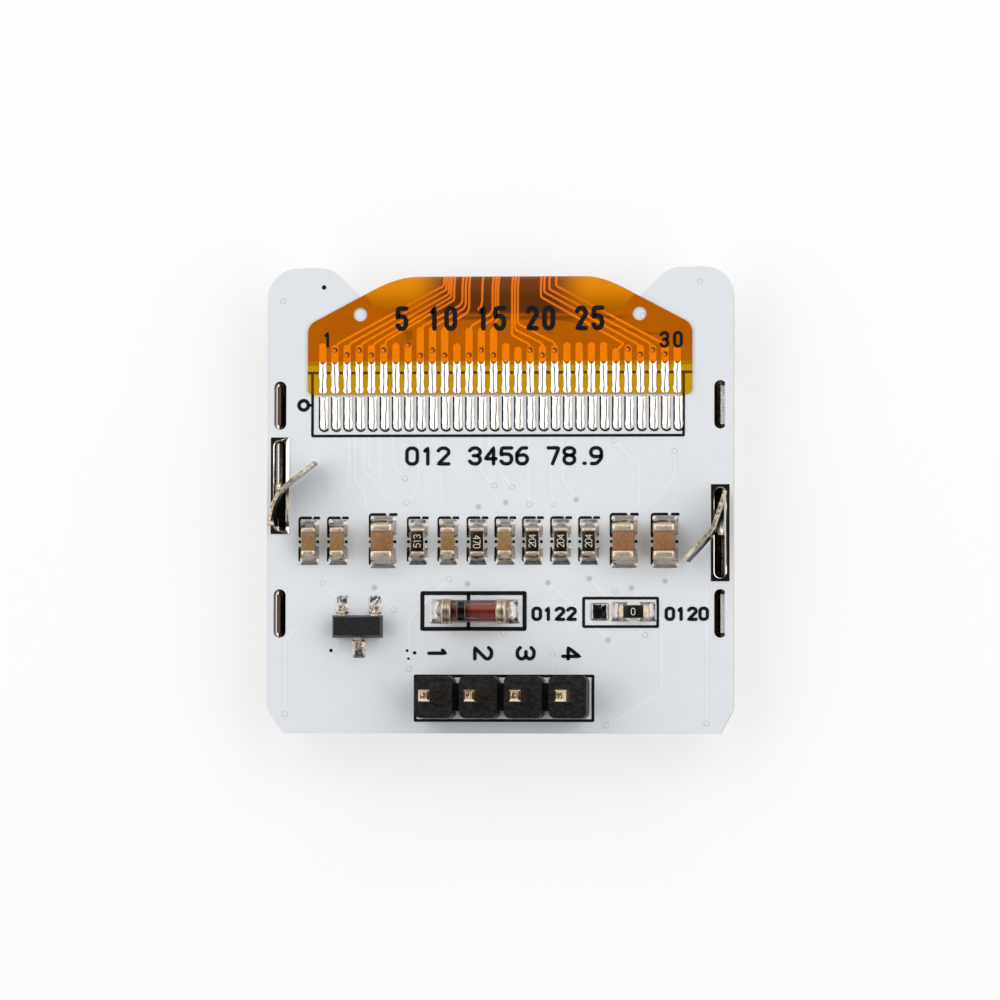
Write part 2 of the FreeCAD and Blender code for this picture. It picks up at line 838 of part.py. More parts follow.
def header_body(pins):
    """Moulded strip: a block with rounded corners round each pin, and a lower web between blocks."""
    half_depth = header_depth / 2
    half_block = header_block_width / 2
    pieces = []
    for x in pin_places():
        corners = rectangle(x - half_block, x + half_block, header_y - half_depth,
                            header_y + half_depth, header_corner_radius)
        pieces.append(plate(corners, board_back, board_back + header_height))
    web_half = half_depth - header_web_setback
    for x in pin_places()[1:]:
        pieces.append(block(x - pin_pitch + half_block, x - half_block, header_y - web_half,
                            header_y + web_half, board_back, board_back + header_web_height))
    return fused(pieces).cut(pins)


def header_solder(pins):
    """Solder that fills each pin's hole and stands as a cone on the board's front."""
    joints = []
    for x in pin_places():
        fill = Part.makeCylinder(header_hole_radius, board_thickness,
                                 Vector(x, header_y, board_front))
        cone = Part.makeCone(header_fillet_tip_radius, header_fillet_radius, header_fillet_height,
                             Vector(x, header_y, board_front - header_fillet_height))
        joints += fused([fill, cone]).cut(pins).Solids
    return Part.makeCompound(joints)


def all_nodes():
    nodes = {
        "circuit_board": circuit_board(),
        "slot_plating_left": slot_plating(-1),
        "slot_plating_right": slot_plating(1),
        "display_frame": display_frame(),
        "polarizer_film": polarizer_film(),
        "front_glass": front_glass(),
        "rear_glass": rear_glass(),
        "driver_chip": driver_chip(),
        "foam_tape": foam_tape(),
        "flex_circuit": flex_circuit(),
        "flex_fingers": flex_fingers(),
        "board_joints": board_joints(),
        "jumper_pad": jumper_pad(),
        "regulator_solder": regulator_solder(),
    }
    nodes.update(chip_nodes())
    leads = [regulator_lead(*place) for place in regulator_sides()]
    nodes["regulator_body"] = regulator_body(leads)
    for number, lead in enumerate(leads, start=1):
        nodes[f"regulator_lead_{number}"] = lead
    nodes.update(diode_nodes())
    pins = [header_pin(x) for x in pin_places()]
    nodes["header_body"] = header_body(pins)
    nodes["header_solder"] = header_solder(pins)
    for number, pin in enumerate(pins, start=1):
        nodes[f"header_pin_{number}"] = pin
    return nodes


def main():
    os.makedirs("parts", exist_ok=True)
    for name, shape in all_nodes().items():
        shape.exportStep(f"parts/{name}.step")
        print(name, len(shape.Solids), round(shape.Volume, 4), shape.isValid())


main()
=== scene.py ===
import math
import random
from collections import namedtuple

import bmesh
import bpy
from bpy.props import FloatProperty, FloatVectorProperty, IntProperty, PointerProperty
from bpy.types import Operator, Panel, PropertyGroup
from mathutils import Matrix, Vector


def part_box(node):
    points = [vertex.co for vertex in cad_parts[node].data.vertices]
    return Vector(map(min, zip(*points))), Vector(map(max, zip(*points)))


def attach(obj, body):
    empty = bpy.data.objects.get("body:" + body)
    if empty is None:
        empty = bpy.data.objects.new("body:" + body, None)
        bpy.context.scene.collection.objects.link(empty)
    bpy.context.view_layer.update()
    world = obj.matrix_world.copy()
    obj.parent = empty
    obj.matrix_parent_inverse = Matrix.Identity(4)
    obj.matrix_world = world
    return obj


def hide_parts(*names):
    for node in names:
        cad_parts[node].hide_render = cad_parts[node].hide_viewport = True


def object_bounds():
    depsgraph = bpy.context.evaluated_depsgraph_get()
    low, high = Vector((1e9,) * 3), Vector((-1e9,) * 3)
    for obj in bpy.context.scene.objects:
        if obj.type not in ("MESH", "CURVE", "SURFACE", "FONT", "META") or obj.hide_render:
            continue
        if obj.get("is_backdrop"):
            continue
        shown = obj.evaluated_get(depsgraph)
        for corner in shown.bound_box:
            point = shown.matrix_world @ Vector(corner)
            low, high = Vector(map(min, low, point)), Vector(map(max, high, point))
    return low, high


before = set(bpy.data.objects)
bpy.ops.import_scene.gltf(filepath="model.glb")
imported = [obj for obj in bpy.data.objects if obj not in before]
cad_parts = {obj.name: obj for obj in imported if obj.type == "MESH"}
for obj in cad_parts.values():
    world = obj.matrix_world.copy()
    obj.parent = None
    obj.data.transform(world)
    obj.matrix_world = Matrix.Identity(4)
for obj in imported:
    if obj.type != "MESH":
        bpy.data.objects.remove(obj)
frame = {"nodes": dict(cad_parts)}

bl_info = {
    "name": "Small display module",
    "version": (1, 0, 0),
    "blender": (4, 5, 0),
    "location": "3D View > Sidebar > Display Module",
    "description": "Dresses the packed display module with its finishes, solder, print and light",
    "category": "Object",
}

# Sizes and places are in millimetres in the frame of the part, unless a comment says otherwise
MM = 0.001
BODY = "root"


def srgb(red, green, blue):
    """Linear colour of a screen colour whose parts run from 0 to 255."""
    parts = []
    for value in (red, green, blue):
        share = value / 255
        parts.append(share / 12.92 if share <= 0.04045 else ((share + 0.055) / 1.055) ** 2.4)
    return (*parts, 1.0)


def darker(color, share):
    """The same colour with only this share of its light."""
    return [part * share for part in color[:3]] + [1.0]


def color_property(name, description, default):
    return FloatVectorProperty(name=name, description=description, default=default, size=4,
                               min=0.0, max=1.0, subtype="COLOR")


def length_property(name, description, millimetres):
    return FloatProperty(name=name, description=description, default=millimetres * MM,
                         min=0.0, unit="LENGTH", precision=5)


def power_property(name, description, watts):
    return FloatProperty(name=name, description=description, default=watts, min=0.0, unit="POWER")


class BoardSettings(PropertyGroup):
    coat: color_property("Coat", "White coat of the circuit board", srgb(224, 228, 232))
    raised_coat: color_property("Raised coat", "White coat over the traces", srgb(231, 234, 237))
    filled_via: color_property("Filled via", "Coat sunk into the filled vias", srgb(182, 192, 200))
    via_rim: color_property("Via rim", "Coat round the vias", srgb(204, 211, 217))
    core: color_property("Core", "Bare glass fibre in the board's slots", srgb(170, 122, 74))
    rim: color_property("Rim", "Bare glass fibre at the board's edges", srgb(206, 196, 166))
    ink: color_property("Print", "Ink of the lines and numbers", srgb(14, 16, 20))
    tinning: color_property("Tinning", "Tinned rings and walls of the slots", srgb(236, 228, 212))
    ink_height: length_property("Print height", "Thickness of the printed ink", 0.02)
    trace_height: length_property("Trace height", "Rise of the coat over the traces", 0.008)


class FrameSettings(PropertyGroup):
    steel: color_property("Steel", "Nickelled sheet of the bezel and its tabs", srgb(196, 194, 192))
    # The cut edge's cream is partly the bare metal and partly a painted highlight
    edge: color_property("Cut edge", "Sheared edge of the sheet", srgb(252, 230, 202))


class PanelSettings(PropertyGroup):
    glass: color_property("Glass", "Edge and face of the glass plates", srgb(60, 68, 70))
    film: color_property("Film", "Dark polarising film in the window", srgb(16, 18, 20))
    tape: color_property("Tape", "Foam tape between panel and board", srgb(42, 42, 44))
    silicon: color_property("Silicon", "Back of the driver chip", srgb(70, 74, 84))


class FlexSettings(PropertyGroup):
    film: color_property("Film", "Amber film over the white board", srgb(178, 91, 0))
    bare_film: color_property("Bare film", "Amber film below the cover layer", srgb(196, 145, 8))
    # Painted shade: the film over the gap stands in for the dark notch seen through it
    gap_film: color_property("Film over the gap", "Film with nothing behind it", srgb(92, 46, 12))
    copper: color_property("Copper", "Copper seen through the cover layer", srgb(238, 124, 2))
    via_copper: color_property("Via rims", "Rims of the vias in the pads", srgb(186, 90, 0))
    trace_width: length_property("Trace width", "Width of the narrow traces", 0.13)
    pad_width: length_property("Pad width", "Width of the pads above the fingers", 0.42)
    pad_pitch: length_property("Pad pitch", "Distance from finger to finger", 0.7)
    pad_count: IntProperty(name="Pads", description="Number of fingers and pads", default=30, min=2)


class PartsSettings(PropertyGroup):
    solder: color_property("Solder", "Reflowed solder", srgb(156, 156, 158))
    # Painted highlight: lighter, warmer solder on the slopes
    solder_edge: color_property("Solder's slopes", "Solder where it leans", srgb(190, 176, 162))
    bright_solder: color_property("Bright solder", "Tin of fingers and joints", srgb(214, 208, 202))
    terminal: color_property("Terminals", "Tinned ends of the chips", srgb(222, 202, 181))
    small_ceramic: color_property("Small ceramic", "Small capacitors", srgb(149, 116, 70))
    small_grain: color_property("Small grain", "Dark lines in the small ceramic", srgb(126, 96, 55))
    large_ceramic: color_property("Large ceramic", "Large capacitors", srgb(151, 106, 66))
    large_grain: color_property("Large grain", "Dark lines in the large ceramic", srgb(132, 90, 55))
    resistor_coat: color_property("Resistor coat", "Glaze of the resistors", srgb(10, 10, 11))
    alumina: color_property("Alumina", "Ceramic of the resistors", srgb(226, 220, 208))
    code: color_property("Numbers", "Numbers on the resistors", srgb(226, 214, 190))
    moulding: color_property("Moulding", "Black epoxy of the regulator", srgb(27, 27, 28))
    lead: color_property("Leads", "Wetted leads of the regulator", srgb(206, 190, 172))
    diode_glass: color_property("Diode glass", "Glass tube of the diode", srgb(226, 192, 186))
    cap: color_property("Caps", "Metal caps of the diode", srgb(216, 200, 176))
    stud: color_property("Studs", "Metal studs inside the diode's glass", srgb(244, 146, 130))
    header: color_property("Header", "Black plastic of the pin header", srgb(9, 9, 10))
    gold: color_property("Gold", "Plating of the pins", srgb(238, 208, 168))


class StageSettings(PropertyGroup):
    floor: color_property("Floor", "Plain floor under the part", srgb(252, 252, 252))
    camera_height: length_property("Camera height", "Height of the camera over the board", 350.0)
    camera_offset: length_property("Camera offset", "Distance of the camera to the right", 29.5)
    camera_drop: length_property("Camera drop", "Distance of the camera to the header's side", 15.5)
    field: length_property("Field", "Width that the camera sees at the board", 56.77)
    side_power: power_property("Side lamps", "Power of each soft lamp at the sides", 1.1)
    back_power: power_property("Back lamp", "Power of the soft lamp behind the fold", 0.3)


class ModuleSettings(PropertyGroup):
    board: PointerProperty(type=BoardSettings)
    frame: PointerProperty(type=FrameSettings)
    panel: PointerProperty(type=PanelSettings)
    flex: PointerProperty(type=FlexSettings)
    parts: PointerProperty(type=PartsSettings)
    stage: PointerProperty(type=StageSettings)


def settings(context):
    return context.scene.display_module


class Recipe:
    """Nodes of one material or of the world."""

    def __init__(self, owner, output):
        owner.use_nodes = True
        self.tree = owner.node_tree
        self.tree.nodes.clear()
        self.output = self.node(output)

    def node(self, kind, inputs=(), **options):
        """New node with its options set and its inputs fed."""
        node = self.tree.nodes.new(kind)
        for name, value in options.items():
            setattr(node, name, value)
        for socket, value in dict(inputs).items():
            self.feed(value, node.inputs[socket])
        return node

    def feed(self, value, target):
        """Gives a socket a constant, or the output of another node."""
        if isinstance(value, bpy.types.NodeSocket):
            self.tree.links.new(value, target)
        else:
            target.default_value = value

    def maths(self, operation, first, second=0.0):
        return self.node("ShaderNodeMath", {0: first, 1: second}, operation=operation).outputs[0]

    def product(self, first, second):
        return self.maths("MULTIPLY", first, second)

    def part_of(self, vector, name):
        """One coordinate of a vector."""
        return self.node("ShaderNodeSeparateXYZ", {"Vector": vector}).outputs[name]

    def shades(self, factor, stops):
        """Colours along a factor, each stop a place and a colour."""
        ramp = self.node("ShaderNodeValToRGB", {"Fac": factor})
        elements = ramp.color_ramp.elements
        while len(elements) < len(stops):
            elements.new(0.5)
        for element, (position, color) in zip(elements, stops):
            element.position = position
            element.color = color
        return ramp.outputs["Color"]

    def levels(self, factor, low, high, start=0.0, end=1.0, curve="SMOOTHSTEP"):
        """Number from low to high while the factor goes from start to end."""
        inputs = {"Value": factor, "From Min": start, "From Max": end, "To Min": low, "To Max": high}
        return self.node("ShaderNodeMapRange", inputs, interpolation_type=curve).outputs["Result"]

    def step(self, factor, start, end):
        """0 below the start, 1 above the end and smooth between them."""
        return self.levels(factor, 0.0, 1.0, start, end)

    def band(self, factor, low, high, soft):
        """1 between two levels of a factor and 0 outside them, with soft edges."""
        fall = self.levels(factor, 1.0, 0.0, high - soft, high + soft)
        return self.product(self.step(factor, low - soft, low + soft), fall)

    def mix(self, factor, first, second):
        """Colour that goes from first to second with the factor."""
        return self.node("ShaderNodeMix", {0: factor, 6: first, 7: second}, data_type="RGBA").outputs[2]


class Finish(Recipe):
    """One Principled surface and the textures that feed it, measured in millimetres."""

    def __init__(self, name, color, roughness, metallic=0.0):
        self.material = bpy.data.materials.new(name)
        self.material.diffuse_color = color
        super().__init__(self.material, "ShaderNodeOutputMaterial")
        inputs = {"Base Color": color, "Roughness": roughness, "Metallic": metallic}
        self.shader = self.node("ShaderNodeBsdfPrincipled", inputs)
        self.feed(self.shader.outputs["BSDF"], self.output.inputs["Surface"])
        self.coordinates = self.node("ShaderNodeTexCoord").outputs["Object"]

    def set(self, socket, value):
        self.feed(value, self.shader.inputs[socket])

    def place(self, stretch=(1, 1, 1)):
        """Position on the part in millimetres, stretched along each axis."""
        inputs = {"Vector": self.coordinates, "Scale": [share / MM for share in stretch]}
        return self.node("ShaderNodeMapping", inputs).outputs["Vector"]

    def axis(self, name):
        """One coordinate of the place on the part."""
        return self.part_of(self.place(), name)

    def aside(self, name="X"):
        """Distance from the middle of the part along an axis."""
        return self.maths("ABSOLUTE", self.axis(name))

    def facing(self, name):
        """How far the surface faces along an axis, from 0 to 1."""
        normal = self.node("ShaderNodeNewGeometry").outputs["True Normal"]
        return self.maths("ABSOLUTE", self.part_of(normal, name))

    def grain(self, scale, detail=2.0, stretch=(1, 1, 1)):
        """Cloudy noise, with the given number of features a millimetre."""
        inputs = {"Vector": self.place(stretch), "Scale": scale, "Detail": detail}
        return self.node("ShaderNodeTexNoise", inputs).outputs["Fac"]

    def speckled(self, base, scale, spread, stretch=(1, 1, 1)):
        """Base colour that wanders a little lighter and darker over the surface."""
        light = [min(part * (1 + spread), 1.0) for part in base[:3]] + [1.0]
        stops = [(0.3, darker(base, 1 - spread)), (0.7, light)]
        return self.shades(self.grain(scale, 3.0, stretch), stops)

    def relief(self, height, strength, depth):
        """Bump of the given depth in millimetres."""
        inputs = {"Height": height, "Strength": strength, "Distance": depth * MM}
        self.set("Normal", self.node("ShaderNodeBump", inputs).outputs["Normal"])


def plain_finish(name, color, roughness, speckle, bump=None, metallic=0.0, sockets=()):
    """Speckled finish. A speckle is its scale and spread, a bump its scale, detail, strength and depth."""
    finish = Finish(name, color, roughness, metallic)
    finish.set("Base Color", finish.speckled(color, *speckle))
    for socket, value in dict(sockets).items():
        finish.set(socket, value)
    if bump:
        scale, detail, strength, depth = bump
        finish.relief(finish.grain(scale, detail), strength, depth)
    return finish.material


def node_span(name):
    """Lowest corner, highest corner and middle of a CAD node."""
    low, high = (Vector(corner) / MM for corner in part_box(name))
    return low, high, (low + high) / 2


def board_back():
    """Level of the board's face that carries the parts."""
    return node_span("circuit_board")[1].z


def add_piece(name, shape, finishes, nodes=(), sharp_angle=35.0):
    """Puts a shape built in millimetres on the part, with its finishes."""
    if not shape.faces:
        raise RuntimeError(f"{name} has no faces")
    bmesh.ops.recalc_face_normals(shape, faces=shape.faces)
    bmesh.ops.scale(shape, vec=(MM, MM, MM), verts=shape.verts)
    mesh = bpy.data.meshes.new(name)
    shape.to_mesh(mesh)
    shape.free()
    mesh.shade_smooth()
    mesh.set_sharp_from_angle(angle=math.radians(sharp_angle))
    for finish in finishes:
        mesh.materials.append(finish)
    piece = bpy.data.objects.new(name, mesh)
    bpy.context.scene.collection.objects.link(piece)
    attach(piece, BODY)
    if nodes:
        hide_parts(*nodes)
    return piece


def dress(names, finish, edge=0.0, segments=2):
    """Gives CAD nodes a finish and, where asked, softly rounded edges."""
    for name in names:
        node = frame["nodes"][name]
        node.data.materials.clear()
        node.data.materials.append(finish)
        if edge:
            weld = node.modifiers.new("joined_corners", "WELD")
            weld.merge_threshold = 0.0002 * MM
            bevel = node.modifiers.new("soft_edges", "BEVEL")
            bevel.width = edge * MM
            bevel.segments = segments
            bevel.limit_method = "ANGLE"
            bevel.angle_limit = math.radians(40)
            bevel.harden_normals = True


def join(shape, part):
    """Adds the faces of one shape to another."""
    mesh = bpy.data.meshes.new("joined")
    part.to_mesh(mesh)
    part.free()
    shape.from_mesh(mesh)
    bpy.data.meshes.remove(mesh)


def quad_strip(shape, first, second, closed=False, finish=0):
    """Faces between two rows of points."""
    count = len(first)
    for i in range(count if closed else count - 1):
        after = (i + 1) % count
        face = shape.faces.new((first[i], first[after], second[after], second[i]))
        face.material_index = finish


def prism(shape, outline, low, high, finish=0):
    """Closed plate with the given outline between two levels."""
    bottom = [shape.verts.new((x, y, low)) for x, y in outline]
    top = [shape.verts.new((x, y, high)) for x, y in outline]
    shape.faces.new(top).material_index = finish
    shape.faces.new(bottom[::-1]).material_index = finish
    quad_strip(shape, bottom, top, closed=True, finish=finish)


def rounded_box(low, high, radius, segments):
    """Box with rounded edges."""
    shape = bmesh.new()
    outline = ((low[0], low[1]), (high[0], low[1]), (high[0], high[1]), (low[0], high[1]))
    prism(shape, outline, low[2], high[2])
    bmesh.ops.bevel(shape, geom=shape.edges[:], offset=radius, segments=segments, profile=0.5,
                    affect="EDGES", clamp_overlap=True)
    return shape


def patch(shape, rows, base):
    """Closed solid under a grid of points, with a flat bottom at the base level."""
    top = [[shape.verts.new(point) for point in row] for row in rows]
    for first, second in zip(top, top[1:]):
        quad_strip(shape, first, second)
    right, left = [row[-1] for row in top[1:-1]], [row[0] for row in top[-2:0:-1]]
    rim = top[0] + right + top[-1][::-1] + left
    foot = [shape.verts.new((vert.co.x, vert.co.y, base)) for vert in rim]
    quad_strip(shape, foot, rim, closed=True)
    shape.faces.new(foot)


def ring_points(x, y, radius, count):
    turns = [2 * math.pi * i / count for i in range(count)]
    return [(x + radius * math.cos(turn), y + radius * math.sin(turn)) for turn in turns]


def rounded_path(points, radius, closed=False, steps=4):
    """Line with its corners turned into short curves."""
    points = [Vector(point) for point in points]
    count = len(points)
    path = []
    for i, point in enumerate(points):
        if not closed and i in (0, count - 1):
            path.append(point)
            continue
        before, after = points[i - 1], points[(i + 1) % count]
        reach = min(radius, (point - before).length / 2.2, (after - point).length / 2.2)
        start = point + (before - point).normalized() * reach
        end = point + (after - point).normalized() * reach
        for step in range(steps + 1):
            share = step / steps
            path.append(start.lerp(point, share).lerp(point.lerp(end, share), share))
    return path


def line_sides(points, width, closed):
    """Left and right borders of a line of the given width, with mitred turns."""
    count = len(points)
    left, right = [], []
    for i, point in enumerate(points):
        incoming = (point - points[i - 1]).normalized() if i or closed else None
        outgoing = (points[(i + 1) % count] - point).normalized() if i < count - 1 or closed else incoming
        incoming = incoming or outgoing
        across = Vector((-incoming.y, incoming.x))
        along = incoming + outgoing
        along = along.normalized() if along.length > 0.1 else across
        side = Vector((-along.y, along.x))
        side *= width / 2 / max(side.dot(across), 0.55)
        left.append(point + side)
        right.append(point - side)
    return left, right


# Plain digits as lines on a grid four wide and six high, closed where they end where they began
DIGITS = {
    "0": [([(1, 0), (3, 0), (4, 1), (4, 5), (3, 6), (1, 6), (0, 5), (0, 1)], True)],
    "1": [([(0.9, 4.9), (2, 6), (2, 0)], False)],
    "2": [([(0, 5), (1, 6), (3, 6), (4, 5), (4, 4), (0, 0), (4, 0)], False)],
    "3": [([(0, 5), (1, 6), (3, 6), (4, 5), (4, 4), (3, 3.1), (4, 2.2), (4, 1), (3, 0), (1, 0),
            (0, 1)], False),
          ([(3, 3.1), (1.4, 3.1)], False)],
    "4": [([(3.1, 0), (3.1, 6), (0, 1.9), (4, 1.9)], False)],
    "5": [([(4, 6), (0.2, 6), (0, 3.4), (1, 3.7), (3, 3.7), (4, 2.7), (4, 1), (3, 0), (1, 0),
            (0, 1)], False)],
    "6": [([(3.7, 6), (1.8, 6), (0, 4), (0, 1), (1, 0), (3, 0), (4, 1), (4, 2.5), (3, 3.4),
            (0, 3.2)], False)],
    "7": [([(0, 6), (4, 6), (1.6, 0)], False)],
    "8": [([(1, 3.2), (3, 3.2), (4, 4.1), (4, 5.1), (3, 6), (1, 6), (0, 5.1), (0, 4.1)], True),
          ([(1, 3.2), (3, 3.2), (4, 2.2), (4, 1), (3, 0), (1, 0), (0, 1), (0, 2.2)], True)],
    "9": [([(0.3, 0), (2.2, 0), (4, 2), (4, 5), (3, 6), (1, 6), (0, 5), (0, 3.5), (1, 2.6),
            (4, 2.8)], False)],
    ".": [([(1.6, 0.1), (2.0, 0.1)], False)],
}
DIGIT_GRID_HEIGHT = 6
POINT_SHARE = 0.7


class Layer:
    """Thin layer on a surface, drawn as lines, discs and plain numbers between two levels."""

    def __init__(self, shape, low, thickness, finish=0, bent=None):
        self.shape = shape
        self.low = low
        self.high = low + thickness
        self.finish = finish
        self.bent = bent or (lambda x, y, z: (x, y, z))

    def row(self, outline, z):
        return [self.shape.verts.new(self.bent(point.x, point.y, z)) for point in outline]

    def line(self, points, width, closed=False):
        """Line along points in plan, with round ends where it is open."""
        points = [Vector(point) for point in points]
        left, right = line_sides(points, width, closed)
        top_left, top_right = self.row(left, self.high), self.row(right, self.high)
        foot_left, foot_right = self.row(left, self.low), self.row(right, self.low)
        for first, second in ((top_right, top_left), (foot_left, foot_right),
                              (top_left, foot_left), (foot_right, top_right)):
            quad_strip(self.shape, first, second, closed, self.finish)
        if closed:
            return
        turns = [math.pi * step / 6 for step in range(1, 6)]
        for end, inner in ((0, 1), (-1, -2)):
            outward = (points[end] - points[inner]).normalized() * width / 2
            start = left[end] - points[end]
            arc = [points[end] + start * math.cos(turn) + outward * math.sin(turn) for turn in turns]
            top_rim = [top_left[end], *self.row(arc, self.high), top_right[end]]
            foot_rim = [foot_left[end], *self.row(arc, self.low), foot_right[end]]
            for rim in (top_rim, foot_rim[::-1]):
                self.shape.faces.new(rim).material_index = self.finish
            quad_strip(self.shape, top_rim, foot_rim, finish=self.finish)

    def ring(self, x, y, radius, width, count=16):
        self.line(ring_points(x, y, radius, count), width, closed=True)

    def disc(self, x, y, radius, count=14):
        prism(self.shape, ring_points(x, y, radius, count), self.low, self.high, self.finish)

    def outline(self, low_x, low_y, high_x, high_y, width, corner):
        """Rectangle drawn as one closed line."""
        corners = [(low_x, low_y), (high_x, low_y), (high_x, high_y), (low_x, high_y)]
        self.line(rounded_path(corners, corner, True, 2), width, closed=True)

    def number(self, text, x, y, height, width, advance=5.6, turn=0.0, squeeze=1.0):
        """Plain number from its lower left corner, turned about that corner."""
        unit = (height - width) / DIGIT_GRID_HEIGHT
        across = Vector((math.cos(turn), math.sin(turn)))
        up = Vector((-math.sin(turn), math.cos(turn)))
        pen = 0.0
        for sign in text:
            for points, closed in DIGITS.get(sign, ()):
                path = [Vector((x, y)) + across * (pen + u * unit * squeeze + width / 2)
                        + up * (v * unit + width / 2) for u, v in points]
                self.line(rounded_path(path, unit * 0.7, closed, 2), width, closed)
            pen += unit * squeeze * advance * (POINT_SHARE if sign == "." else 1)


# The board's middle in the photo and the length of a millimetre there, in pixels
PHOTO_MIDDLE_X = 500.3
PHOTO_MIDDLE_Y = 499.5
PIXELS_PER_MM = 17.47
# Vias, and runs of copper under the coat from the flex pads down, read from the photo in pixels
OPEN_VIAS = ((282.6, 300), (699.9, 282), (643, 316), (285.8, 713), (706.8, 721.6), (405.8, 477.7),
             (407.2, 502.3), (495.2, 485.1), (513, 486.8), (323.2, 582.7), (449.8, 578.4), (395, 609.1),
             (409.8, 667.5), (504.8, 631.8), (614.3, 440.1), (674.8, 451), (530.1, 504), (555.1, 504),
             (616, 590.5), (645.8, 634), (553.5, 652.5), (607.4, 723.9))
FILLED_VIAS = ((479.5, 506.1), (506.5, 502), (375.4, 586.7), (468.7, 583.1), (548.9, 581.9),
               (590.2, 577.9), (665.6, 580.5), (577, 499.2), (632.1, 587.4), (608.8, 639))
BOARD_TRACES = (
    ((349, 436), (349, 484), (341, 492)),
    ((355, 436), (355, 480), (366, 492), (366, 505)),
    ((364, 436), (364, 470), (394, 500)),
    ((370, 436), (370, 466)),
    ((380, 436), (380, 480)),
    ((394, 436), (394, 464), (405.8, 477.7)),
    ((419, 436), (419, 488), (407.2, 502.3)),
    ((442, 436), (442, 505)),
    ((481, 436), (481, 470), (495.2, 485.1)),
    ((490, 436), (490, 458), (513, 486.8)),
    ((529, 436), (529, 490), (530.1, 504)),
    ((552, 436), (552, 488), (555.1, 504)),
    ((563, 436), (563, 478), (577, 499.2)),
    ((614.3, 440.1), (640, 466), (640, 505)),
    ((674.8, 451), (674.8, 480), (650, 505)),
    ((323.2, 582.7), (344, 604), (344, 640)),
    ((375.4, 586.7), (395, 609.1)),
    ((449.8, 578.4), (409.8, 618), (409.8, 667.5)),
    ((468.7, 583.1), (504.8, 620), (504.8, 631.8)),
    ((548.9, 581.9), (590, 620), (608.8, 639)),
    ((590.2, 577.9), (645.8, 634)),
    ((632.1, 587.4), (662, 618), (662, 690), (607.4, 723.9)),
    ((553.5, 652.5), (553.5, 690), (520, 724)),
    ((285.8, 713), (285.8, 640), (300, 625)),
    ((706.8, 721.6), (706.8, 560)),
)
TRACE_WIDTH = 0.14
TRACE_TURN = 0.3
VIA_RADIUS = 0.15
VIA_RIM_WIDTH = 0.06
VIA_FILL_RADIUS = 0.125


def on_board(pixel):
    """Place on the board of a point read from the photo."""
    return ((pixel[0] - PHOTO_MIDDLE_X) / PIXELS_PER_MM, (PHOTO_MIDDLE_Y - pixel[1]) / PIXELS_PER_MM)


def board_finish(look):
    """White coat on the faces, bare fibre on the edges and browner fibre in the slots."""
    finish = Finish("white_board_coat", look.coat, 0.38)
    weave = finish.grain(7.0, 2.0, (1.0, 0.25, 1.0))
    core = finish.mix(weave, darker(look.core, 0.72), look.core)
    rim = finish.mix(weave, srgb(184, 170, 134), look.rim)
    in_slots = finish.product(finish.band(finish.aside(), 12.0, 13.05, 0.05),
                              finish.levels(finish.aside("Y"), 1.0, 0.0, 9.0, 9.1))
    fibre = finish.mix(in_slots, rim, core)
    coat = finish.speckled(look.coat, 0.9, 0.012)
    finish.set("Base Color", finish.mix(finish.step(finish.facing("Z"), 0.55, 0.75), fibre, coat))
    finish.set("Specular IOR Level", 0.35)
    finish.relief(finish.grain(5.0, 4.0), 0.25, 0.006)
    return finish.material


class MODULE_OT_board(Operator):
    """Finishes the circuit board and raises the coat over its traces and vias"""
    bl_idname = "display_module.board"
    bl_label = "Board"

    def execute(self, context):
        look = settings(context).board
        dress(["circuit_board"], board_finish(look))
        ridges = bmesh.new()
        back, rise = board_back(), look.trace_height / MM
        coat = Layer(ridges, back, rise)
        for run in BOARD_TRACES:
            coat.line(rounded_path([on_board(pixel) for pixel in run], TRACE_TURN), TRACE_WIDTH)
        rims = Layer(ridges, back, rise * 1.5, finish=2)
        for pixel in OPEN_VIAS + FILLED_VIAS:
            rims.ring(*on_board(pixel), VIA_RADIUS, VIA_RIM_WIDTH)
        fillings = Layer(ridges, back, rise * 1.25, finish=1)
        for pixel in FILLED_VIAS:
            fillings.disc(*on_board(pixel), VIA_FILL_RADIUS)
        add_piece("coat_over_traces", ridges, [
            plain_finish("coat_over_copper", look.raised_coat, 0.36, (1.4, 0.01),
                         (6.0, 2.0, 0.2, 0.004), sockets={"Specular IOR Level": 0.4}),
            plain_finish("filled_via", look.filled_via, 0.4, (8.0, 0.08)),
            plain_finish("via_rim", look.via_rim, 0.4, (6.0, 0.06)),
        ])
        return {"FINISHED"}


# Printed rectangles: left, low, right and high edge, width of the line and radius of its corners
OUTLINES = {
    "flex pads": (-10.74, 3.68, 10.51, 7.28, 0.15, 0.05),
    "header": (-4.80, -12.57, 5.36, -10.03, 0.16, 0.02),
    "diode": (-4.40, -7.35, 1.45, -5.31, 0.23, 0.03),
    "jumper": (4.82, -7.22, 9.04, -5.60, 0.16, 0.05),
}
# Printed dots: place and width
DOTS = ((-10.1, 12.2, 0.26), (-9.64, -8.58, 0.2), (-5.26, -8.59, 0.16), (-4.84, -8.71, 0.2),
        (-5.19, -9.05, 0.15))
PIN_NUMBER_X = (-3.56, -0.93, 1.5, 4.1)
ROW_CHIPS = ([f"small_capacitor_{i}" for i in range(1, 5)]
             + [f"large_capacitor_{i}" for i in range(1, 4)]
             + [f"chip_resistor_{i}" for i in range(1, 6)])
# Width and span of a pair of pads under a chip
SMALL_PADS = (1.08, 2.62)
LARGE_PADS = (1.48, 3.0)


def print_finish(look):
    return plain_finish("black_print", look.ink, 0.7, (12.0, 0.35), (16.0, 2.0, 0.3, 0.004),
                        sockets={"Specular IOR Level": 0.15})


